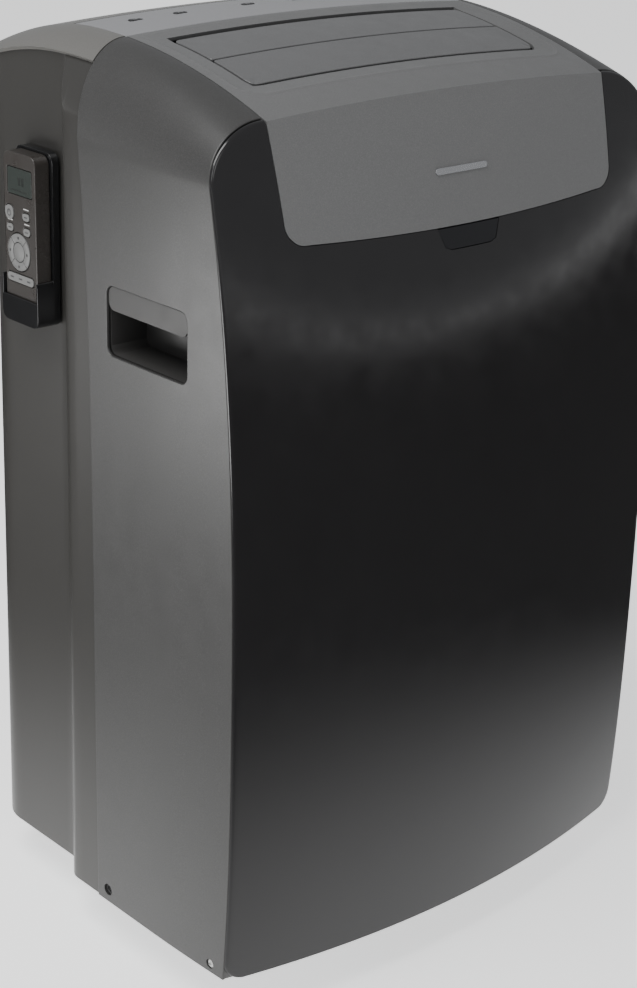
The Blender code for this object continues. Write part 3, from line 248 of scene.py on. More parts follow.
def moulded(
    name,
    colour,
    roughness,
    mottle=0.05,
    grain=900,
    relief=0.00003,
    uneven=0.15,
    fleck=0.0,
    metallic=0.0,
):
    """Moulded plastic: faint mottling, uneven gloss, a fine spark-eroded grain and, where asked, a
    metallic fleck."""
    mat = bpy.data.materials.new(name)
    mat.use_nodes = True
    nodes, links = mat.node_tree.nodes, mat.node_tree.links
    shader = nodes["Principled BSDF"]
    shader.inputs["Metallic"].default_value = metallic
    place = nodes.new("ShaderNodeTexCoord").outputs["Object"]

    def noise(scale, detail):
        texture = nodes.new("ShaderNodeTexNoise")
        texture.inputs["Scale"].default_value = scale
        texture.inputs["Detail"].default_value = detail
        links.new(place, texture.inputs["Vector"])
        return texture.outputs["Fac"]

    def blended(fac, low, high):
        mix = nodes.new("ShaderNodeMix")
        mix.data_type = "RGBA"
        mix.inputs["A"].default_value = (*low, 1)
        mix.inputs["B"].default_value = (*high, 1)
        links.new(fac, mix.inputs["Factor"])
        return mix

    def stepped(fac, low, high, to_low, to_high):
        span = nodes.new("ShaderNodeMapRange")
        span.inputs["From Min"].default_value = low
        span.inputs["From Max"].default_value = high
        span.inputs["To Min"].default_value = to_low
        span.inputs["To Max"].default_value = to_high
        links.new(fac, span.inputs["Value"])
        return span.outputs["Result"]

    darker = tuple(c * (1 - mottle) for c in colour)
    lighter = tuple(c * (1 + mottle) for c in colour)
    tone = blended(noise(11, 3), darker, lighter).outputs["Result"]
    if fleck:
        specks = stepped(noise(1300, 2), 0.42, 0.72, 0, 1)
        flecked = blended(specks, colour, tuple(c + fleck for c in colour))
        links.new(tone, flecked.inputs["A"])
        tone = flecked.outputs["Result"]
    links.new(tone, shader.inputs["Base Color"])
    links.new(
        stepped(noise(46, 5), 0.3, 0.7, roughness * (1 - uneven), roughness * (1 + uneven)),
        shader.inputs["Roughness"],
    )
    bump = nodes.new("ShaderNodeBump")
    bump.inputs["Strength"].default_value = 0.5
    bump.inputs["Distance"].default_value = relief
    links.new(noise(grain, 3), bump.inputs["Height"])
    links.new(bump.outputs["Normal"], shader.inputs["Normal"])
    return mat


def finished(name, bm, body, slot, material, *nodes):
    """Makes the mesh a piece that rides on a body and stands for nodes of the frame."""
    mesh = bpy.data.meshes.new(name)
    bm.to_mesh(mesh)
    bm.free()
    mesh.shade_smooth()
    mesh.set_sharp_from_angle(angle=math.radians(38))
    mesh.materials.append(material)
    piece = bpy.data.objects.new(name, mesh)
    bpy.context.scene.collection.objects.link(piece)
    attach(piece, body)
    if nodes:
        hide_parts(*nodes)
    return piece


def rounded_edges(piece, edge, segments=3):
    rounding = piece.modifiers.new("Rounded edges", "BEVEL")
    rounding.width = edge
    rounding.segments = segments
    rounding.limit_method = "ANGLE"
    rounding.angle_limit = math.radians(38)
    rounding.harden_normals = True
    return piece


def walled(piece, thickness, edge, segments=3):
    """Gives a sheet its wall, inwards from the outer face, and rounds the wall's edges."""
    inward = piece.modifiers.new("Wall", "SOLIDIFY")
    inward.thickness = thickness
    inward.offset = -1
    return rounded_edges(piece, edge, segments)


def visor_side(z):
    return crease - visor_taper * held((crease_end - z) / (crease_end - visor_foot))


def visor_foot_z(x):
    return visor_foot + visor_sag * min(abs(x) / 0.157, 1) ** 2


def front_outline(rise):
    """Point and outward direction of the panel's right edge: round foot corner, straight side,
    shoulder arc."""
    if rise < panel_foot + corner:
        turn = math.radians(90) * (rise - panel_foot) / corner
        side = side_x(seam_y(panel_foot + corner))
        point = (
            side - corner + corner * math.sin(turn), panel_foot + corner - corner * math.cos(turn)
        )
        return Vector(point), Vector((math.sin(turn), -math.cos(turn)))
    if rise <= shoulder:
        return Vector((side_x(seam_y(rise)), rise)), Vector((1, 0))
    turn = math.radians(89.2) * (rise - shoulder) / 0.09
    z = rise
    for _ in range(8):
        height = crease_z(seam_y(z)) - shoulder
        z = shoulder + height * math.sin(turn)
    wide = side_x(seam_y(z)) - crease
    outward = Vector((math.cos(turn) / wide, math.sin(turn) / height)).normalized()
    return Vector((crease + wide * math.cos(turn), z)), outward


corner_row = visor_foot + visor_sag - seam
notch_foot, notch_top, notch_half_foot, notch_half_top, notch_corner = 0.6103, 0.6273, 0.0264, 0.0334, 0.006


def on_front(column, rise):
    """Columns 0 to 1 span the visor, 1 to 2 the horn beside it, and 2 to 3 the rolled edge."""
    edge, outward = front_outline(rise)
    bend = roll * (outward.x if rise < panel_foot + corner else 1)
    inset = edge - outward * bend
    inner = visor_side(max(inset.y, visor_foot)) + seam
    reach = abs(column)
    back_by, z = 0.0, inset.y
    if reach <= 1:
        x = inner * reach
        if rise <= corner_row + 1e-6:
            share = (visor_foot_z(x) - seam - panel_foot) / (corner_row - panel_foot)
            z = panel_foot + (z - panel_foot) * share
    elif reach <= 2:
        x = mixed(inner, inset.x, reach - 1)
    else:
        turn = math.radians(90) * (reach - 2)
        spot = inset + outward * bend * math.sin(turn)
        x, z, back_by = spot.x, spot.y, bend * (1 - math.cos(turn))
    return Vector((math.copysign(x, column), front_y(x, z) + back_by, z))


front_columns = both_ways(lines(0, (0.1925, 0.012), (0.9, 0.03), (1, 0.009), (2, 0.06), (3, 0.2)))
notch_row = panel_foot + (notch_foot - panel_foot) * (corner_row - panel_foot) / (
    visor_foot - seam - panel_foot
)
front_rows = lines(
    panel_foot,
    (panel_foot + corner, 0.0012),
    (0.59, 0.009),
    (notch_row, 0.003),
    (corner_row, 0.002),
    (corner_row + 0.018, 0.0018),
    (shoulder, 0.005),
    (shoulder + 0.09, 0.0025),
)
bm = sheet(front_columns, front_rows, on_front, Vector((0, -1, 0)))
remove_where(
    bm, lambda spot: abs(spot.x) < visor_side(spot.z) and spot.z > visor_foot_z(spot.x) - seam
)
remove_where(bm, lambda spot: abs(spot.x) < notch_half_top and spot.z > notch_foot)
for side in (-1, 1):
    centre = (side * (crease - visor_taper + seam - visor_corner), corner_row + visor_corner)
    round_corner(bm, centre, visor_corner, (0, 2), (side, -1))
for vert in [
    v
    for v in bm.verts
    if v.is_boundary and abs(v.co.x) < 0.036 and notch_foot - 0.001 < v.co.z < notch_top + 0.001
]:
    share = held((vert.co.z - notch_foot) / (notch_top - notch_foot))
    vert.co.x *= mixed(notch_half_foot, notch_half_top, share) / notch_half_top
for side in (-1, 1):
    round_corner(
        bm,
        (side * (notch_half_foot - notch_corner), notch_foot + notch_corner),
        notch_corner,
        (0, 2),
        (side, -1),
    )
for vert in bm.verts:
    if vert.is_boundary and abs(vert.co.x) < crease - 0.001 and vert.co.z > panel_foot + 0.1:
        vert.co.y = front_y(vert.co.x, vert.co.z)
gloss_black = moulded(
    "gloss_black_abs",
    (0.012, 0.0115, 0.012),
    0.16,
    mottle=0.08,
    grain=260,
    relief=0.00001,
    uneven=0.25,
)
walled(
    finished("front_panel_sheet", bm, "casing", "front_gloss", gloss_black, "front_panel"),
    wall,
    0.0009,
)

# ---------------------------------------------------------------- toe strip
# The foot of the front is backed by a narrow graphite strip of the base, which shows as a fine edge
# under the panel's round lower corners.


def on_toe(column, row):
    x = column * (half_width - 0.0036)
    return Vector((x, front_y(x, row) + 0.0034, row))


toe_grey = moulded(
    "toe_grey_abs", (0.070, 0.069, 0.067), 0.4, mottle=0.04, grain=900, relief=0.00001
)
bm = sheet(
    lines(-1, (1, 0.04)),
    lines(panel_foot + 0.0004, (panel_foot + 0.020, 0.005)),
    on_toe,
    Vector((0, -1, 0)),
)
walled(finished("toe_strip_moulding", bm, "casing", "side_satin", toe_grey), 0.002, 0.0006)

# ---------------------------------------------------------------- receiver window
# A small tab of infrared-clear gloss plastic, snapped into the notch under the visor. The remote's
# signal passes it.
window_foot, window_top, window_half_foot, window_half_top = 0.6107, 0.6268, 0.026, 0.033


def on_window(column, row):
    x = column * mixed(window_half_foot, window_half_top, row)
    z = mixed(window_foot, window_top, row)
    return Vector((x, front_y(x, z) + 0.0003, z))


bm = sheet(lines(-1, (1, 0.04)), lines(0, (1, 0.1)), on_window, Vector((0, -1, 0)))
for side in (-1, 1):
    round_corner(
        bm,
        (side * (window_half_foot - 0.0056), window_foot + 0.0056),
        0.0056,
        (0, 2),
        (side, -1),
        True,
    )
window_plastic = moulded(
    "infrared_clear_plastic", (0.006, 0.006, 0.007), 0.09, grain=200, relief=0.00001
)
walled(
    finished(
        "receiver_window_lens", bm, "casing", "dark_window", window_plastic, "receiver_window"
    ),
    0.0022,
    0.0007,
)

# ---------------------------------------------------------------- visor and top cover
# One satin grey moulding: the visor over the front panel, a crease, and the crowned top with its
# outlet. A low rim runs round the outlet, and the face inside the rim slopes down to the louvres.
outlet_front, outlet_rear, outlet_side = -0.0895, 0.0115, 0.1525
deck_front, deck_rear = 0.0285, 0.097
rim_side, rim_front, rim_corner, rim_drop = 0.1675, -0.1045, 0.020, 0.0024
cover_half = crease - seam / 2


def rim_depth(x, y):
    """How far the face lies under the crown inside the rim, which has round front corners and fades
    at the rear."""
    across_in, along_in = rim_side - abs(x), y - rim_front
    inside = min(across_in, along_in)
    if across_in < rim_corner and along_in < rim_corner:
        inside = rim_corner - math.hypot(rim_corner - across_in, rim_corner - along_in)
    bead = math.exp(-(((inside + 0.0011) / 0.0011) ** 2)) * 0.0005
    slope = held(inside / 0.0145)
    fade = held((outlet_rear + 0.012 - y) / 0.02)
    return (rim_drop * slope ** 0.8 - bead) * fade


def visor_crest(x):
    """Where the front's curve meets the crowned top, over one place across the width."""
    z = crease_end
    for _ in range(10):
        y = front_y(x, z)
        z = casing_z(x, y)
    return y, z


def on_cover(column, row):
    """Row 0 to 1 climbs the visor, 1 to 2 runs to the outlet, 2 to 3 past it, and 3 to 4 to the
    control deck."""
    crest_y, crest_z = visor_crest(column)
    if row <= 1:
        z = mixed(visor_foot_z(column), crest_z, row)
        x = column * visor_side(z) / crease
        return Vector((x, front_y(x, z), z))
    stops = (crest_y, outlet_front, outlet_rear, deck_front - seam / 2)
    leg = min(int(row - 1), 2)
    y = mixed(stops[leg], stops[leg + 1], row - 1 - leg)
    return Vector((column, y, casing_z(column, y) - rim_depth(column, y)))


cover_columns = both_ways(
    lines(0, (0.13, 0.01), (outlet_side, 0.002), (rim_side + 0.004, 0.0009), (cover_half, 0.002))
)
cover_rows = lines(
    0,
    (0.2, 0.018),
    (0.9, 0.1),
    (1, 0.03),
    (1.35, 0.05),
    (2, 0.022),
    (2.2, 0.03),
    (2.85, 0.05),
    (4, 0.05),
)
bm = sheet(cover_columns, cover_rows, on_cover, Vector((0, -1, 1)))
remove_where(bm, lambda spot: abs(spot.x) < outlet_side and outlet_front < spot.y < outlet_rear)
for side in (-1, 1):
    round_corner(
        bm, (side * (outlet_side - 0.012), outlet_front + 0.012), 0.012, (0, 1), (side, -1)
    )
    round_corner(
        bm,
        (side * (crease - visor_taper - visor_corner), visor_foot + visor_sag + visor_corner),
        visor_corner,
        (0, 2),
        (side, -1),
        True,
    )
for vert in bm.verts:
    if vert.co.z < 0.67:
        vert.co.y = front_y(vert.co.x, vert.co.z)
satin_grey = moulded(
    "satin_grey_abs",
    (0.104, 0.104, 0.104),
    0.36,
    mottle=0.03,
    grain=1100,
    relief=0.00003,
    fleck=0.03,
)
walled(
    finished("top_cover_moulding", bm, "casing", "top_grey", satin_grey, "top_cover"),
    wall,
    0.0011,
    4,
)

# ---------------------------------------------------------------- badge
# A plain slim bar of bright-plated plastic, glued to the visor where such appliances carry their
# maker's name.
badge_half, badge_tall, badge_z, badge_proud = 0.0275, 0.0048, 0.668, 0.0009


def on_badge(column, row):
    """Columns run from end to end; both ends are half rounds."""
    z = badge_z + row * badge_tall / 2
    x = column * (badge_half - badge_tall / 2 + math.sqrt(max(1 - row**2, 0)) * badge_tall / 2)
    return Vector((x, front_y(x, z) - badge_proud, z))


bm = sheet(
    lines(-1, (1, 0.05)),
    [math.sin(math.radians(turn)) for turn in range(-90, 91, 15)],
    on_badge,
    Vector((0, -1, 0)),
)
bright_plate = moulded(
    "bright_plate", (0.62, 0.62, 0.63), 0.22, mottle=0.04, grain=700, relief=0.00001, metallic=1.0
)
walled(finished("visor_badge", bm, "casing", "top_grey", bright_plate), 0.0013, 0.0004)

# ---------------------------------------------------------------- side panels
# Mirror-image mouldings in graphite plastic with a fine metallic fleck. Each is flat down its side
# and turns over the shoulder to the crease, with a window for the hand pocket and two screw holes
# at its foot.
window_front, window_rear, window_low, window_high, window_corner = -0.1146, -0.018, 0.5295, 0.584, 0.007
graphite = moulded(
    "graphite_abs",
    (0.034, 0.0334, 0.0325),
    0.34,
    mottle=0.02,
    grain=1200,
    relief=0.00002,
    uneven=0.06,
    fleck=0.02,
)


def side_rear_y(z):
    return 0.0055 + 0.0235 * (max(z - 0.3, 0) / 0.459) ** 4


def on_side(column, rise):
    """Columns 0 to 1 run from the front seam to the window, 1 to 2 across it and 2 to 3 to the rear
    edge."""
    turn = math.radians(90) * max(rise - shoulder, 0) / 0.09
    y, z = window_front, min(rise, shoulder)
    for _ in range(10):
        stops = (seam_y(z) + roll + 0.0002, window_front, window_rear, side_rear_y(z))
        leg = min(int(column), 2)
        y = mixed(stops[leg], stops[leg + 1], column - leg)
        if rise > shoulder:
            z = shoulder + (crease_z(y) - shoulder) * math.sin(turn)
    edge = crease + seam / 2
    return Vector((edge + (side_x(y) - edge) * math.cos(turn), y, z))


side_columns = lines(0, (1, 0.09), (1.08, 0.016), (1.92, 0.035), (2, 0.016), (3, 0.12))
side_rows = lines(
    panel_foot,
    (window_low - 0.01, 0.0095),
    (window_low, 0.0025),
    (window_low + 0.008, 0.0012),
    (window_high - 0.008, 0.004),
    (window_high, 0.0012),
    (shoulder, 0.005),
    (shoulder + 0.09, 0.003),
)


def drill(piece, *holes):
    """Cuts round holes through a piece for good. Each hole is (a point on its line, direction,
    radius)."""
    cutters = []
    for index, (middle, direction, radius) in enumerate(holes):
        bm = bmesh.new()
        bmesh.ops.create_cone(
            bm, cap_ends=True, segments=28, radius1=radius, radius2=radius, depth=0.03
        )
        turn = Vector((0, 0, 1)).rotation_difference(Vector(direction)).to_matrix().to_4x4()
        bmesh.ops.transform(bm, matrix=Matrix.Translation(middle) @ turn, verts=bm.verts)
        mesh = bpy.data.meshes.new("drill")
        bm.to_mesh(mesh)
        bm.free()
        cutter = bpy.data.objects.new(f"{piece.name}_drill_{index}", mesh)
        bpy.context.scene.collection.objects.link(cutter)
        cutters.append(cutter)
        hole = piece.modifiers.new("Hole", "BOOLEAN")
        hole.operation = "DIFFERENCE"
        hole.object = cutter
    settle(piece)
    for cutter in cutters:
        bpy.data.objects.remove(cutter)
    return piece


def settle(piece):
    """Turns what the modifiers make into the piece's own mesh."""
    graph = bpy.context.evaluated_depsgraph_get()
    mesh = bpy.data.meshes.new_from_object(piece.evaluated_get(graph))
    piece.modifiers.clear()
    piece.data = mesh


screw_places = ((-0.009, 0.054), (-0.1442, 0.050))
for side, name in ((-1, "left"), (1, "right")):
    bm = sheet(side_columns, side_rows, on_side, Vector((1, 0, 0)))
    remove_where(
        bm, lambda spot: window_front < spot.y < window_rear and window_low < spot.z < window_high
    )
    for front_or_rear in (-1, 1):
        for low_or_high in (-1, 1):
            centre = (
                (
                    window_front if front_or_rear < 0 else window_rear
                ) - front_or_rear * window_corner,
                (window_low if low_or_high < 0 else window_high) - low_or_high * window_corner,
            )
            round_corner(bm, centre, window_corner, (1, 2), (front_or_rear, low_or_high))
    if side < 0:
        bmesh.ops.scale(bm, vec=(-1, 1, 1), verts=bm.verts)
        bmesh.ops.reverse_faces(bm, faces=bm.faces)
    panel = finished(
        f"{name}_side_moulding", bm, "casing", "side_satin", graphite, f"{name}_side_panel"
    )
    walled(panel, wall, 0.0009)
    holes = zip(screw_places, (0.0052, 0.0042))
    drill(panel, *[((side * half_width, y, z), (1, 0, 0), radius) for (y, z), radius in holes])

# ---------------------------------------------------------------- hand pockets
# Deep cups of the same plastic welded behind the side windows. The lip over the upper part is the
# edge that fingers hook behind when the appliance is rolled along.


def refined(node, body, slot, material, edge=0.0006, segments=2):
    """A copy of a solid of the frame, merged, with whole flat faces and rounded edges, which stands
    for it."""
    bm = bmesh.new()
    bm.from_mesh(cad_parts[node].data)
    bmesh.ops.remove_doubles(bm, verts=bm.verts, dist=0.000002)
    bmesh.ops.dissolve_limit(bm, angle_limit=math.radians(1), verts=bm.verts, edges=bm.edges)
    return rounded_edges(
        finished(f"{node}_moulding", bm, body, slot, material, node), edge, segments
    )


pocket_plastic = moulded(
    "pocket_abs", (0.036, 0.035, 0.034), 0.38, mottle=0.05, grain=1000, relief=0.00005
)
for name in ("left", "right"):
    refined(f"{name}_handle_cup", "casing", "side_satin", pocket_plastic, 0.0010, 3)

# ---------------------------------------------------------------- side screws
# Low on each panel: a bright cross-recessed screw at the front, and a dark push-in plug at the
# rear.
bright_steel = moulded(
    "plated_steel", (0.55, 0.55, 0.54), 0.28, mottle=0.06, grain=1500, relief=0.00002, metallic=1.0
)
soft_black = moulded(
    "soft_black", (0.012, 0.012, 0.012), 0.62, mottle=0.1, grain=900, relief=0.00006
)


def turned(profile, axis, centre, steps=48):
    """A profile of (radius, distance along the axis) spun round the axis through a centre."""
    bm = bmesh.new()
    verts = [bm.verts.new((radius, 0, along)) for radius, along in profile]
    following = verts[1:] if profile[0][0] == 0 else verts[1:] + verts[:1]
    edges = [bm.edges.new(pair) for pair in zip(verts, following)]
    bmesh.ops.spin(
        bm,
        geom=verts + edges,
        axis=(0, 0, 1),
        cent=(0, 0, 0),
        angle=math.tau,
        steps=steps,
        use_merge=True,
        use_duplicate=False,
    )
    bmesh.ops.remove_doubles(bm, verts=bm.verts, dist=0.00001)
    turn = Vector((0, 0, 1)).rotation_difference(Vector(axis)).to_matrix().to_4x4()
    bmesh.ops.transform(bm, matrix=Matrix.Translation(centre) @ turn, verts=bm.verts)
    bmesh.ops.recalc_face_normals(bm, faces=bm.faces)
    return bm


def add_bar(bm, low, high):
    """One more box in a bmesh, between two corners."""
    low, high = Vector(low), Vector(high)
    size = Matrix.Diagonal((*(high - low), 1))
    return bmesh.ops.create_cube(
        bm, size=1, matrix=Matrix.Translation((low + high) / 2) @ size
    )["verts"]


def carve(piece, bm):
    """Cuts another mesh out of a piece for good."""
    mesh = bpy.data.meshes.new("carver")
    bm.to_mesh(mesh)
    bm.free()
    cutter = bpy.data.objects.new(f"{piece.name}_carver", mesh)
    bpy.context.scene.collection.objects.link(cutter)
    cut = piece.modifiers.new("Carved", "BOOLEAN")
    cut.operation = "DIFFERENCE"
    cut.object = cutter
    settle(piece)
    bpy.data.objects.remove(cutter)
    return piece


for side, name in ((-1, "left"), (1, "right")):
    (rear_y, rear_z), (front_screw_y, front_z) = screw_places
    face = half_width - 0.0014
    plug_profile = (
        (0, -0.004),
        (0.0050, -0.004),
        (0.0050, -0.0006),
        (0.0044, 0),
        (0.0026, 0),
        (0.0022, -0.001),
        (0, -0.001),
    )
    bm = turned(plug_profile, (side, 0, 0), (side * (face - 0.0004), rear_y, rear_z), 28)
    finished(f"{name}_rear_plug", bm, "casing", "black_rubber", soft_black, f"{name}_rear_screw")
    head_profile = (
        (0, -0.006),
        (0.0016, -0.006),
        (0.0016, -0.0016),
        (0.0040, -0.0016),
        (0.0040, -0.0008),
        (0.0028, -0.0001),
        (0, 0),
    )
    bm = turned(head_profile, (side, 0, 0), (side * (face - 0.0008), front_screw_y, front_z), 28)
    screw = finished(
        f"{name}_front_cross_screw", bm, "casing", "steel", bright_steel, f"{name}_front_screw"
    )
    outer, inner = side * (face + 0.001), side * (face - 0.0018)
    for half_y, half_z in ((0.0017, 0.00035), (0.00035, 0.0017)):
        bar = bmesh.new()
        low = (min(outer, inner), front_screw_y - half_y, front_z - half_z)
        add_bar(bar, low, (max(outer, inner), front_screw_y + half_y, front_z + half_z))
        carve(screw, bar)

# ---------------------------------------------------------------- control deck and keys
# A smooth light-grey strip behind the outlet, set flush into the top. Six small keys stand in it
# over rubber domes, and each has a moulded bar as its only mark.
key_places = {
    "power": -0.139, "mode": -0.095, "fan": -0.026, "timer": 0.026, "cooler": 0.095, "warmer": 0.139
}
key_row, key_half, key_half_wide = 0.06875, 0.0064, 0.0029
smooth_grey = moulded(
    "smooth_grey_abs", (0.225, 0.225, 0.232), 0.24, mottle=0.02, grain=500, relief=0.00001
)
key_grey = moulded("key_grey", (0.030, 0.030, 0.031), 0.42, mottle=0.06, grain=1000, relief=0.00003)
mark_white = moulded("pale_print", (0.45, 0.45, 0.44), 0.5, mottle=0.03, grain=900, relief=0.00001)


def on_deck(column, row):
    return Vector((column, row, casing_z(column, row)))


def split_round(middles, half):
    """Grid lines from edge to edge that fall on both sides of every key."""
    places = [-cover_half]
    for middle in sorted(middles):
        places += lines(places[-1], (middle - half, 0.008))[1:] + lines(
            middle - half, (middle + half, 0.004)
        )[1:]
    return places + lines(places[-1], (cover_half, 0.008))[1:]


deck_columns = split_round(key_places.values(), key_half)
deck_rows = lines(
    deck_front + seam,
    (key_row - key_half_wide, 0.006),
    (key_row + key_half_wide, 0.003),
    (deck_rear - 0.0007, 0.006),
)
bm = sheet(deck_columns, deck_rows, on_deck, Vector((0, 0, 1)))
remove_where(
    bm,
    lambda spot: abs(spot.y - key_row) < key_half_wide and any(
        abs(spot.x - x) < key_half for x in key_places.values()
    ),
)
walled(
    finished("control_deck_strip", bm, "casing", "deck_grey", smooth_grey, "control_deck"),
    wall,
    0.0009,
)
for name, x in key_places.items():
    refined(f"{name}_key", f"{name}_key", "key_grey", key_grey, 0.0005, 2)
    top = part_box(f"{name}_key")[1].z
    bm = bmesh.new()
    add_bar(
        bm,
        (x - 0.0022, key_row - 0.0003, top - 0.0002),
        (x + 0.0022, key_row + 0.0003, top + 0.00002),
    )
    finished(f"{name}_key_mark", bm, f"{name}_key", "key_grey", mark_white)

# ---------------------------------------------------------------- rear housing
# A single warm-grey moulding that wraps the back. A narrow strip shows behind each side panel, then
# the wall steps in, runs back and turns two round corners into the flat rear wall with its
# openings.
strip_x, strip_front, strip_rear, strip_blend = 0.2275, -0.0005, 0.0390, 0.032
rear_corner, rear_wall, cap_step = 0.038, 0.1925, 0.0045
grille_half = 0.1504
grille_spans = {"lower": (0.087, 0.199), "upper": (0.430, 0.666)}
exhaust_z, exhaust_hole = 0.299, 0.0704


def housing_plan(column, z, inset):
    """Columns count from the middle of the back: 0 to 1 the rear wall, to 2 the corner, to 3 the
    side, to 4 the step out, and to 5 the strip."""
    rise = held((z - panel_foot) / (shoulder - panel_foot), 0, 1.1)
    side = 0.213 - 0.006 * rise - inset
    strip = strip_x + 0.0035 * max(1 - rise, 0) ** 2 - inset
    radius = rear_corner - inset
    rear = rear_wall - inset
    reach = abs(column)
    if reach <= 0.8:
        x, y = grille_half * reach / 0.8, rear
    elif reach <= 1:
        x, y = mixed(grille_half, side - radius, (reach - 0.8) / 0.2), rear
    elif reach <= 2:
        turn = math.radians(90) * (reach - 1)
        x, y = side - radius + radius * math.sin(turn), rear - radius + radius * math.cos(turn)
    elif reach <= 3:
        x, y = side, mixed(rear - radius, strip_rear + strip_blend, reach - 2)
    elif reach <= 4:
        share = 4 - reach
        x, y = mixed(
            strip, side, (1 - math.cos(math.pi * share)) / 2
        ), strip_rear + strip_blend * share
    else:
        x, y = strip, mixed(strip_rear, strip_front, reach - 4)
    return math.copysign(x, column), y


def on_housing(column, row):
    """Rows in metres up the wall to its top, then 1 to 2 inwards over the ledge that the cap
    covers."""
    inset = max(row - 1, 0) * 0.028
    top = 0.70
    for _ in range(8):
        x, y = housing_plan(column, top, inset)
        top = casing_z(x, max(y, -0.02)) - cap_step
    if row >= 1:
        return Vector((x, y, top))
    if row > 0.68:
        z = mixed(0.68, top, (row - 0.68) / 0.32)
    else:
        z = row
    x, y = housing_plan(column, z, 0)
    return Vector((x, y, z))


housing_columns = both_ways(
    lines(0, (0.8, 0.025), (1, 0.07), (2, 0.1), (3, 0.09), (4, 0.09), (5, 0.25))
)
(low_foot, low_top), (high_foot, high_top) = grille_spans["lower"], grille_spans["upper"]
housing_rows = lines(
    panel_foot, (low_foot, 0.009), (low_top, 0.02), (exhaust_z - 0.075, 0.005), (
        exhaust_z + 0.075, 0.0045
    ),
    (high_foot, 0.009), (high_top, 0.02), (0.68, 0.007), (1, 0.05), (2, 0.25),
)
bm = sheet(housing_columns, housing_rows, on_housing, Vector((0, 1, 0)))
for low, high in grille_spans.values():
    remove_where(
        bm,
        lambda spot: spot.y > rear_wall - 0.001 and abs(
            spot.x
        ) < grille_half and low < spot.z < high,
    )
remove_where(
    bm,
    lambda spot: spot.y > rear_wall - 0.001 and math.hypot(
        spot.x, spot.z - exhaust_z
    ) < exhaust_hole,
)
for vert in bm.verts:
    reach = math.hypot(vert.co.x, vert.co.z - exhaust_z)
    if vert.is_boundary and abs(reach - exhaust_hole) < 0.006 and vert.co.y > 0.19:
        vert.co.x *= exhaust_hole / reach
        vert.co.z = exhaust_z + (vert.co.z - exhaust_z) * exhaust_hole / reach
warm_grey = moulded(
    "warm_grey_abs",
    (0.030, 0.0288, 0.0267),
    0.30,
    mottle=0.02,
    grain=900,
    relief=0.00001,
    uneven=0.03,
    fleck=0.006,
)
housing = finished("rear_housing_moulding", bm, "casing", "housing_grey", warm_grey, "rear_housing")
walled(housing, wall, 0.0010)
upper_plug, lower_plug, gland = (-0.160, rear_wall, 0.397), (-0.12, rear_wall, 0.058), (
    0.165, rear_wall, 0.120
)
drill(
    housing,
    (upper_plug, (0, 1, 0), 0.0096),
    (lower_plug, (0, 1, 0), 0.0076),
    (gland, (0, 1, 0), 0.0090),
)

# ---------------------------------------------------------------- rear cap
# The lid of the rear housing: it carries the crown on behind the control deck and down both
# shoulders, and its lip overhangs the wall so that a shadow shows under it.
cap_side, cap_rear, cap_corner = 0.210, 0.1945, 0.038


def on_cap(column, row):
    """Rows 0 to 1 reach the deck's rear edge, 1 to 2 the round corners, 2 to 3 the rear lip.
    Columns are in metres."""
    spread, y = 1.0, 0.0
    x = column
    z = casing_z(x, 0.03)
    if row <= 1:
        start = deck_front
        if abs(x) > crease:
            for _ in range(8):
                start = side_rear_y(z) + 2 * seam
                z = casing_z(x, start)
        y = mixed(start, deck_rear + seam / 2, row)
    elif row <= 2:
        y = mixed(deck_rear + seam / 2, cap_rear - cap_corner, row - 1)
    else:
        turn = math.radians(90) * (row - 2)
        y = cap_rear - cap_corner + cap_corner * math.sin(turn)
        spread = (cap_side - cap_corner + cap_corner * math.cos(turn)) / cap_side
    x = column * spread
    return Vector((x, y, casing_z(x, y)))


cap_columns = both_ways(
    lines(0, (crease + seam / 2, 0.009), (cap_side - 0.008, 0.002), (cap_side, 0.001))
)
bm = sheet(cap_columns, lines(0, (1, 0.08), (2, 0.12), (3, 0.06)), on_cap, Vector((0, 0, 1)))
remove_where(bm, lambda spot: abs(spot.x) < crease + seam / 2 and spot.y < deck_rear + seam / 2)
cap_grey = moulded(
    "cap_grey_abs",
    (0.115, 0.112, 0.105),
    0.30,
    mottle=0.02,
    grain=900,
    relief=0.00001,
    uneven=0.03,
    fleck=0.02,
)
walled(
    finished("rear_cap_lid", bm, "casing", "housing_grey", cap_grey, "rear_top_cap"),
    0.0034,
    0.0013,
    4,
)

# ---------------------------------------------------------------- intake grilles and filter
# Two flat grilles of fine bars in three columns. The upper one pulls off backwards with the
# washable filter behind it.
grille_edge, grille_plate, slot_pitch, slot_tall = 0.150, 0.0045, 0.0098, 0.0052
grille_grey = moulded(
    "grille_grey_abs", (0.070, 0.069, 0.066), 0.36, mottle=0.05, grain=900, relief=0.00004
)


def slotted(low, high):
    """Rows of grid lines from edge to edge, and the spans between them that are open."""
    border = 0.011
    count = int((high - low - 2 * border + slot_pitch - slot_tall) / slot_pitch)
    first = (low + high - (count * slot_pitch - (slot_pitch - slot_tall))) / 2
    open_rows = [
        (first + step * slot_pitch, first + step * slot_pitch + slot_tall) for step in range(count)
    ]
    return [low] + [edge for span in open_rows for edge in span] + [high], open_rows


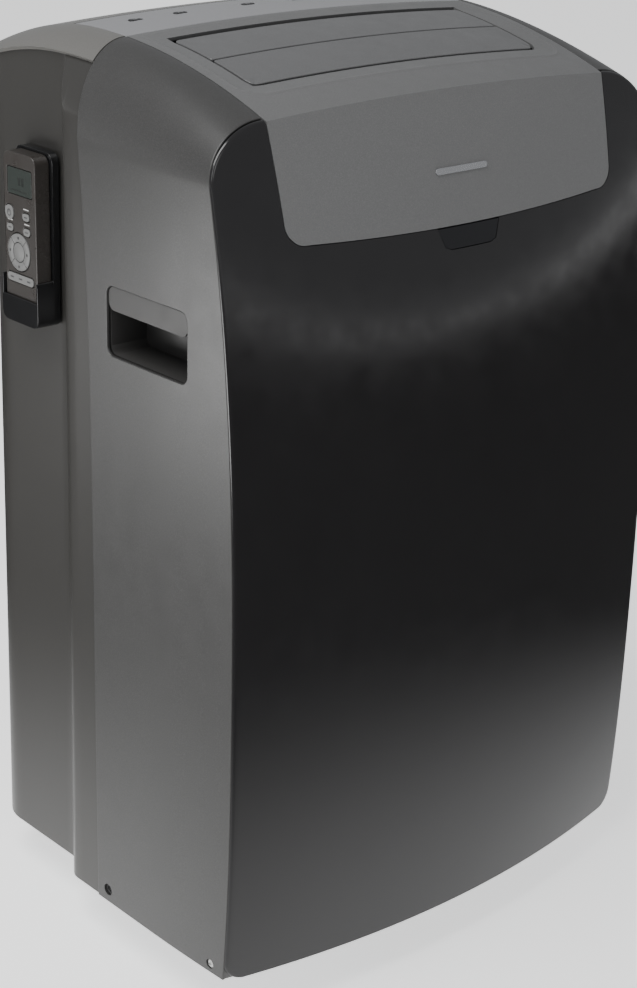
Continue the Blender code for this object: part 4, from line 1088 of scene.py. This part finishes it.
grille_border = 0.012
column_wide = (2 * grille_edge - 4 * grille_border) / 3
open_columns = [
    (-grille_edge + grille_border + step * (column_wide + grille_border), column_wide)
    for step in range(3)
]
grille_columns = [-grille_edge] + [edge for left, span in open_columns for edge in (left, left + span)] + [
    grille_edge
]
for name, body in (("upper", "upper_grille"), ("lower", "casing")):
    low, high = grille_spans[name]
    rows, open_rows = slotted(low, high)
    outer_y = rear_wall - wall + 0.001 + grille_plate
    bm = sheet(
        grille_columns, rows, lambda column, row: Vector((column, outer_y, row)), Vector((0, 1, 0))
    )
    remove_where(
        bm,
        lambda spot: any(left < spot.x < left + span for left, span in open_columns)
        and any(foot < spot.z < top for foot, top in open_rows),
    )
    grille = finished(
        f"{name}_grille_bars", bm, body, "housing_grey", grille_grey, f"{name}_intake_grille"
    )
    walled(grille, grille_plate, 0.0010, 2)


def woven(name, colour, pitch, depth, roughness=0.75, metallic=0.0):
    """A fine weave or fin pack, as two crossing sets of waves at a real pitch."""
    mat = moulded(
        name, colour, roughness, mottle=0.12, grain=600, relief=0.00004, metallic=metallic
    )
    nodes, links = mat.node_tree.nodes, mat.node_tree.links
    bump = nodes["Bump"]
    coordinate = nodes["Texture Coordinate"].outputs["Object"]
    heights = []
    for direction in ("X", "Z"):
        wave = nodes.new("ShaderNodeTexWave")
        wave.bands_direction = direction
        wave.inputs["Scale"].default_value = math.pi / 10 / pitch
        links.new(coordinate, wave.inputs["Vector"])
        heights.append(wave.outputs["Fac"])
    both = nodes.new("ShaderNodeMath")
    both.operation = "MULTIPLY"
    links.new(heights[0], both.inputs[0])
    links.new(heights[1], both.inputs[1])
    links.new(both.outputs["Value"], bump.inputs["Height"])
    bump.inputs["Distance"].default_value = depth
    return mat


filter_mesh = woven("filter_mesh", (0.035, 0.036, 0.038), 0.0012, 0.0004)
refined("upper_filter", "upper_grille", "filter_mesh", filter_mesh, 0.0005, 2)

# ---------------------------------------------------------------- exhaust collar, drain plugs and cord gland
# Fittings of the rear wall: a turned collar with a flange that the hose end pushes on, two soft
# plugs that pull out, and a rubber bush for the mains lead.
collar_grey = moulded(
    "collar_grey_abs", (0.060, 0.059, 0.056), 0.36, mottle=0.05, grain=800, relief=0.00004
)
collar_seat = rear_wall + 0.0004
collar_profile = (
    (0.067, collar_seat - 0.030),
    (0.070, collar_seat - 0.030),
    (0.070, collar_seat),
    (0.0795, collar_seat),
    (0.080, collar_seat + 0.0005),
    (0.080, collar_seat + 0.0020),
    (0.0795, collar_seat + 0.0025),
    (0.0712, collar_seat + 0.0025),
    (0.0704, collar_seat + 0.0029),
    (0.070, collar_seat + 0.0036),
    (0.070, 0.1980),
    (0.0695, 0.1985),
    (0.0675, 0.1985),
    (0.067, 0.1980),
)
bm = turned(collar_profile, (0, 1, 0), (0, 0, exhaust_z), 96)
for turn in range(4):
    spoke = Matrix.Translation((0, 0, exhaust_z)) @ Matrix.Rotation(math.radians(45 * turn), 4, "Y")
    verts = add_bar(
        bm, (-0.0675, collar_seat - 0.018, -0.0011), (0.0675, collar_seat - 0.014, 0.0011)
    )
    bmesh.ops.transform(bm, matrix=spoke, verts=verts)
finished("exhaust_collar_ring", bm, "casing", "housing_grey", collar_grey, "exhaust_collar")

for name, (x, y, z), radius in (("upper", upper_plug, 0.009), ("lower", lower_plug, 0.007)):
    plug_profile = (
        (0, -0.009),
        (radius - 0.0012, -0.009),
        (radius - 0.0004, -0.007),
        (radius, -0.005),
        (radius, 0.0004),
        (radius + 0.0026, 0.0004),
        (radius + 0.003, 0.0010),
        (radius + 0.0026, 0.0026),
        (radius - 0.0008, 0.0029),
        (radius - 0.0016, 0.0042),
        (radius - 0.0030, 0.0044),
        (radius - 0.0040, 0.0032),
        (0, 0.0030),
    )
    bm = turned(plug_profile, (0, 1, 0), (x, y, z), 48)
    add_bar(
        bm,
        (x - radius + 0.004, y + 0.0028, z - 0.0008),
        (x + radius - 0.004, y + 0.0042, z + 0.0008),
    )
    finished(
        f"{name}_plug_turning", bm, f"{name}_plug", "black_rubber", soft_black, f"{name}_drain_plug"
    )

gland_profile = (
    (0.0045, -0.012),
    (0.0085, -0.012),
    (0.0085, 0.0004),
    (0.0112, 0.0004),
    (0.0115, 0.0010),
    (0.0108, 0.0036),
    (0.0100, 0.0050),
    (0.0090, 0.0050),
    (0.0050, 0.0050),
    (0.0045, 0.0044),
)
bm = turned(gland_profile, (0, 1, 0), gland, 40)
finished("cord_gland_bush", bm, "casing", "black_rubber", soft_black, "cord_gland")

# ---------------------------------------------------------------- louvres, link, duct and motor
# Two crowned flaps close the outlet. Each turns on pins in the duct's ends, and a bar on their
# cranks keeps them parallel. A small geared motor drives the front one.
blade_half, blade_drop, blade_thick = 0.150, 0.0022, 0.003
blades = {
    "front": (-0.0870, -0.04127, (-0.049765, 0.736806), (0.0100, 0.0020)),
    "rear": (-0.03977, 0.0065, (-0.002, 0.745362), (0.0020, 0.0050)),
}
crank_drop, pin_radius, lug_thick = 0.018, 0.002, 0.0035
blade_grey = moulded(
    "louvre_grey_abs",
    (0.092, 0.092, 0.093),
    0.33,
    mottle=0.03,
    grain=1100,
    relief=0.00003,
    fleck=0.03,
)


def add_pin(bm, start, end, radius, steps=24):
    """A round bar in a bmesh, along X between two places."""
    length = end[0] - start[0]
    made = bmesh.ops.create_cone(
        bm, cap_ends=True, segments=steps, radius1=radius, radius2=radius, depth=length
    )["verts"]
    middle = ((start[0] + end[0]) / 2, start[1], start[2])
    bmesh.ops.transform(
        bm,
        matrix=Matrix.Translation(middle) @ Matrix.Rotation(math.radians(90), 4, "Y"),
        verts=made,
    )


for name, (low_y, high_y, (pivot_y, pivot_z), (front_round, rear_round)) in blades.items():
    columns = both_ways(lines(0, (0.138, 0.006), (blade_half, 0.0015)))
    rows = lines(low_y, (low_y + 0.012, 0.0015), (high_y - 0.006, 0.006), (high_y, 0.0015))
    bm = sheet(
        columns, rows, lambda x, y: Vector((x, y, casing_z(x, y) - blade_drop)), Vector((0, 0, 1))
    )
    for side in (-1, 1):
        round_corner(
            bm,
            (side * (blade_half - front_round), low_y + front_round),
            front_round,
            (0, 1),
            (side, -1),
            True,
        )
        round_corner(
            bm,
            (side * (blade_half - rear_round), high_y - rear_round),
            rear_round,
            (0, 1),
            (side, 1),
            True,
        )
    blade = walled(
        finished(
            f"{name}_louvre_flap", bm, f"{name}_louvre", "top_grey", blade_grey, f"{name}_louvre"
        ),
        blade_thick,
        0.0008,
    )
    settle(blade)
    ends = bmesh.new()
    for side in (-1, 1):
        outer, inner = side * blade_half, side * (blade_half - lug_thick)
        foot = pivot_z - (crank_drop if side < 0 else 0) - 0.003
        verts = add_bar(
            ends,
            (min(outer, inner), pivot_y - 0.004, foot),
            (max(outer, inner), pivot_y + 0.004, pivot_z + 0.0066),
        )
        edges = {edge for vert in verts for edge in vert.link_edges}
        bmesh.ops.bevel(
            ends,
            geom=list(edges),
            offset=0.0006,
            segments=2,
            profile=0.5,
            affect="EDGES",
            material=-1,
            offset_type="OFFSET",
        )
        pin = sorted((side * (blade_half - 0.002), side * (blade_half + 0.005)))
        add_pin(ends, (pin[0], pivot_y, pivot_z), (pin[1], pivot_y, pivot_z), pin_radius)
    crank_z = pivot_z - crank_drop
    add_pin(
        ends,
        (-blade_half + 0.002, pivot_y, crank_z),
        (-blade_half + 0.0074, pivot_y, crank_z),
        0.0016,
    )
    finished(f"{name}_louvre_ends", ends, f"{name}_louvre", "top_grey", blade_grey)

dark_plastic = moulded(
    "dark_inner_plastic", (0.022, 0.022, 0.022), 0.5, mottle=0.08, grain=700, relief=0.00006
)
refined("louvre_link", "louvre_link", "inner_plastic", dark_plastic, 0.0003, 2)
refined("outlet_duct", "casing", "inner_plastic", dark_plastic, 0.0004, 2)
galvanised = moulded(
    "galvanised_steel",
    (0.42, 0.43, 0.44),
    0.36,
    mottle=0.16,
    grain=220,
    relief=0.00003,
    metallic=1.0,
    uneven=0.3,
)
refined("louvre_motor", "casing", "steel", galvanised, 0.0008, 2)

# ---------------------------------------------------------------- remote control
# A slim handset of satin brown-grey plastic standing in its holder. Its keys are pale rubber-sprung
# caps in wells, with plain symbols, and its display is a green-grey panel behind a dark frame.
remote_face, remote_back, remote_middle, remote_foot, remote_top = -0.230, -0.2165, 0.0995, 0.5305, 0.6625
remote_half, key_proud = 0.022, 0.0006
ring_y, ring_z = 0.102, 0.583
remote_brown = moulded(
    "satin_brown_grey",
    (0.024, 0.0205, 0.018),
    0.30,
    mottle=0.05,
    grain=900,
    relief=0.00003,
    fleck=0.02,
)
pale_key = moulded(
    "pale_key_rubber", (0.13, 0.13, 0.127), 0.45, mottle=0.04, grain=900, relief=0.00003
)
display = moulded("lcd_panel", (0.030, 0.035, 0.032), 0.16, mottle=0.03, grain=300, relief=0.00001)
display_ink = moulded("lcd_ink", (0.014, 0.017, 0.015), 0.3, mottle=0.03, grain=300, relief=0.00001)


def add_tablet(bm, middle, half, low_x, high_x, radius, steps=8):
    """A rounded bar standing along X: middle and half sizes in Y and Z."""
    (y, z), (half_y, half_z) = middle, half
    verts = add_bar(bm, (low_x, y - half_y, z - half_z), (high_x, y + half_y, z + half_z))
    upright_edges = {
        edge
        for vert in verts
        for edge in vert.link_edges
        if abs(edge.verts[0].co.x - edge.verts[1].co.x) > 1e-5
    }
    bmesh.ops.bevel(
        bm,
        geom=list(upright_edges),
        offset=radius,
        segments=steps,
        profile=0.5,
        affect="EDGES",
        material=-1,
        offset_type="OFFSET",
    )


remote_keys = {
    "power": ((0.114, 0.6136), (0.0058, 0.0058)),
    "mode": ((0.1135, 0.6015), (0.0042, 0.0030)),
    "swing": ((0.091, 0.6131), (0.0045, 0.0030)),
    "timer": ((0.0903, 0.6012), (0.0045, 0.0030)),
    "bar": ((0.1005, 0.5615), (0.0180, 0.0034)),
}
screen_middle, screen_half = (remote_middle, 0.6395), (0.0165, 0.0105)
bm = bmesh.new()
remote_centre = (remote_middle, (remote_foot + remote_top) / 2)
add_tablet(
    bm,
    remote_centre,
    (remote_half, (remote_top - remote_foot) / 2),
    remote_face,
    remote_back,
    0.008,
    10,
)
case = finished("remote_handset", bm, "remote", "remote_brown", remote_brown, "remote_case")
wells = bmesh.new()
well_floor = remote_face + 0.0022
for middle, (half_y, half_z) in remote_keys.values():
    room = 0.0004
    add_tablet(
        wells,
        middle,
        (half_y + room, half_z + room),
        remote_face - 0.01,
        well_floor,
        min(half_y, half_z) - 0.0001,
    )
add_tablet(
    wells,
    screen_middle,
    (screen_half[0] + 0.0004, screen_half[1] + 0.0004),
    remote_face - 0.01,
    well_floor,
    0.0016,
    4,
)
add_tablet(wells, (ring_y, ring_z), (0.0156, 0.0156), remote_face - 0.01, well_floor, 0.0155, 20)
carve(case, wells)
rounded_edges(case, 0.0009, 3)
settle(case)

for name, (middle, half) in remote_keys.items():
    bm = bmesh.new()
    add_tablet(bm, middle, half, remote_face - key_proud, remote_face + 0.0008, min(half) - 0.0002)
    key = finished(
        f"remote_{name}_cap",
        bm,
        f"remote_{name}_key",
        "remote_keys",
        pale_key,
        f"remote_{name}_key",
    )
    rounded_edges(key, 0.0003, 2)

ring_profile = (
    (0.0082, -0.0008),
    (0.0150, -0.0008),
    (0.0150, key_proud - 0.0003),
    (0.0146, key_proud),
    (0.0086, key_proud),
    (0.0082, key_proud - 0.0003),
)
bm = turned(ring_profile, (-1, 0, 0), (remote_face, ring_y, ring_z), 64)
ring = finished(
    "remote_ring_cap", bm, "remote_ring_key", "remote_keys", pale_key, "remote_ring_key"
)
splits = bmesh.new()
for turn in (45, 135):
    verts = add_bar(
        splits,
        (remote_face - 0.002, -0.017, -0.00035),
        (remote_face - key_proud + 0.0005, 0.017, 0.00035),
    )
    place = Matrix.Translation((0, ring_y, ring_z)) @ Matrix.Rotation(math.radians(turn), 4, "X")
    bmesh.ops.transform(splits, matrix=place, verts=verts)
carve(ring, splits)
centre_profile = (
    (0, -0.0008),
    (0.0076, -0.0008),
    (0.0076, key_proud - 0.0003),
    (0.0072, key_proud),
    (0, key_proud + 0.0001),
)
bm = turned(centre_profile, (-1, 0, 0), (remote_face, ring_y, ring_z), 48)
finished("remote_centre_cap", bm, "remote_centre_key", "remote_keys", pale_key, "remote_centre_key")

bm = bmesh.new()
add_tablet(bm, screen_middle, screen_half, remote_face + 0.0002, remote_face + 0.0016, 0.0014, 4)
rounded_edges(
    finished("remote_display", bm, "remote", "remote_screen", display, "remote_screen"), 0.0003, 2
)

dark_print = moulded("dark_print", (0.02, 0.02, 0.02), 0.5, mottle=0.03, grain=900, relief=0.00001)


def printed(name, body, material, *bars):
    """Thin printed strokes on a key or display. Each bar is (middle, half sizes) in Y and Z, and
    the ink's face in X."""
    bm = bmesh.new()
    for (y, z), (half_y, half_z), ink_x in bars:
        add_bar(bm, (ink_x, y - half_y, z - half_z), (ink_x + 0.0001, y + half_y, z + half_z))
    return finished(name, bm, body, "remote_keys", material)


ink = remote_face - key_proud - 0.00004
(power_y, power_z), _ = remote_keys["power"]
(bar_y, bar_z), _ = remote_keys["bar"]
printed(
    "remote_power_mark",
    "remote_power_key",
    dark_print,
    ((power_y, power_z + 0.0012), (0.0004, 0.0016), ink),
)
bm = turned(
    ((0.0020, 0), (0.0027, 0), (0.0027, 0.0001), (0.0020, 0.0001)),
    (-1, 0, 0),
    (ink + 0.0001, power_y, power_z - 0.0004),
    32,
)
finished("remote_power_circle", bm, "remote_power_key", "remote_keys", dark_print)
for name in ("mode", "swing", "timer"):
    (y, z), _ = remote_keys[name]
    printed(
        f"remote_{name}_mark", f"remote_{name}_key", dark_print, ((y, z), (0.0020, 0.0004), ink)
    )
strokes = [((bar_y + aside, bar_z), (0.0022, 0.0006), ink) for aside in (-0.0115, 0, 0.0115)]
printed("remote_bar_marks", "remote_bar_key", dark_print, *strokes)
arms = [
    ((ring_y + 0.0116 * a, ring_z + 0.0116 * b), (0.0010, 0.0010), ink)
    for a, b in ((1, 0), (-1, 0), (0, 1), (0, -1))
]
printed("remote_ring_marks", "remote_ring_key", dark_print, *arms)
legends = [
    ((y, z + 0.0062), (half[0] * 0.8, 0.0004), remote_face - 0.00004)
    for (y, z), half in remote_keys.values()
    if half[0] < 0.005
]
printed("remote_legends", "remote", mark_white, *legends)
screen_y, screen_z = screen_middle
segments = [
    (
        (screen_y - 0.004 + 0.0045 * place, screen_z + 0.0005),
        (0.0015, 0.0032),
        remote_face + 0.00014,
    )
    for place in range(2)
]
segments += [((screen_y, screen_z - 0.0072), (0.012, 0.0004), remote_face + 0.00014)]
printed("remote_display_segments", "remote", display_ink, *segments)

# ---------------------------------------------------------------- remote holder
# A gloss-black cup screwed to the housing's side, with a tall back plate shaped to the wall. The
# handset drops in from above and lifts straight out.
holder_gloss = moulded(
    "gloss_black_holder", (0.009, 0.009, 0.0095), 0.14, mottle=0.08, grain=300, relief=0.00001
)
refined("remote_holder", "casing", "holder_black", holder_gloss, 0.0008, 3)

# ---------------------------------------------------------------- base pan and castors
# A pressed, galvanised pan carries everything. Four swivel castors with nylon forks stand under it,
# and their treaded wheels run on moulded axles.
refined("base_pan", "casing", "steel", galvanised, 0.0012, 3)
nylon = moulded("black_nylon", (0.018, 0.018, 0.019), 0.48, mottle=0.08, grain=700, relief=0.00005)
tread_rubber = moulded(
    "tread_rubber", (0.022, 0.021, 0.021), 0.68, mottle=0.15, grain=500, relief=0.00008
)
wheel_half, wheel_radius, bore = 0.008, 0.019, 0.0039
wheel_profile = (
    (bore, -wheel_half),
    (0.0065, -wheel_half),
    (0.0070, -wheel_half + 0.0012),
    (0.0135, -wheel_half + 0.0012),
    (0.0142, -wheel_half),
    (wheel_radius - 0.0026, -wheel_half),
    (wheel_radius - 0.0009, -wheel_half + 0.0008),
    (wheel_radius - 0.0002, -wheel_half + 0.0024),
    (wheel_radius, -wheel_half + 0.0040),
    (wheel_radius, wheel_half - 0.0040),
    (wheel_radius - 0.0002, wheel_half - 0.0024),
    (wheel_radius - 0.0009, wheel_half - 0.0008),
    (wheel_radius - 0.0026, wheel_half),
    (0.0142, wheel_half),
    (0.0135, wheel_half - 0.0012),
    (0.0070, wheel_half - 0.0012),
    (0.0065, wheel_half),
    (bore, wheel_half),
)
castor_x, castor_front_y, castor_rear_y = 0.115, -0.073, 0.107
for name, x, y in (
    ("front_left", -castor_x, castor_front_y),
    ("front_right", castor_x, castor_front_y),
    ("rear_left", -castor_x, castor_rear_y),
    ("rear_right", castor_x, castor_rear_y),
):
    refined(f"{name}_castor_fork", f"{name}_fork", "castor_plastic", nylon, 0.0006, 2)
    bm = turned(wheel_profile, (1, 0, 0), (x, y, wheel_radius), 64)
    finished(
        f"{name}_castor_tyre",
        bm,
        f"{name}_wheel",
        "castor_plastic",
        tread_rubber,
        f"{name}_castor_wheel",
    )

# ---------------------------------------------------------------- works behind the grilles
# The refrigeration set in its two chambers: compressor, finned coils, drum blowers on their motors,
# tray and controls. They show only through the grilles, the outlet and the open foot.
works_black = moulded(
    "works_black_paint", (0.014, 0.014, 0.014), 0.4, mottle=0.2, grain=300, relief=0.00008
)
fin_pack = woven("aluminium_fins", (0.46, 0.47, 0.48), 0.0018, 0.0007, 0.32, 1.0)
refined("compressor", "casing", "works_black", works_black, 0.0012, 2)
refined("control_box", "casing", "inner_plastic", dark_plastic, 0.0012, 2)
refined("condensate_tray", "casing", "inner_plastic", dark_plastic, 0.0008, 2)
for name in ("upper", "lower"):
    refined(f"{name}_fan_motor", "casing", "steel", galvanised, 0.0010, 2)
    refined(f"{name}_blower_wheel", f"{name}_blower", "works_black", works_black, 0.0008, 2)
refined("condenser_coil", "casing", "steel", fin_pack, 0.0006, 2)
refined("evaporator_coil", "casing", "steel", fin_pack, 0.0006, 2)
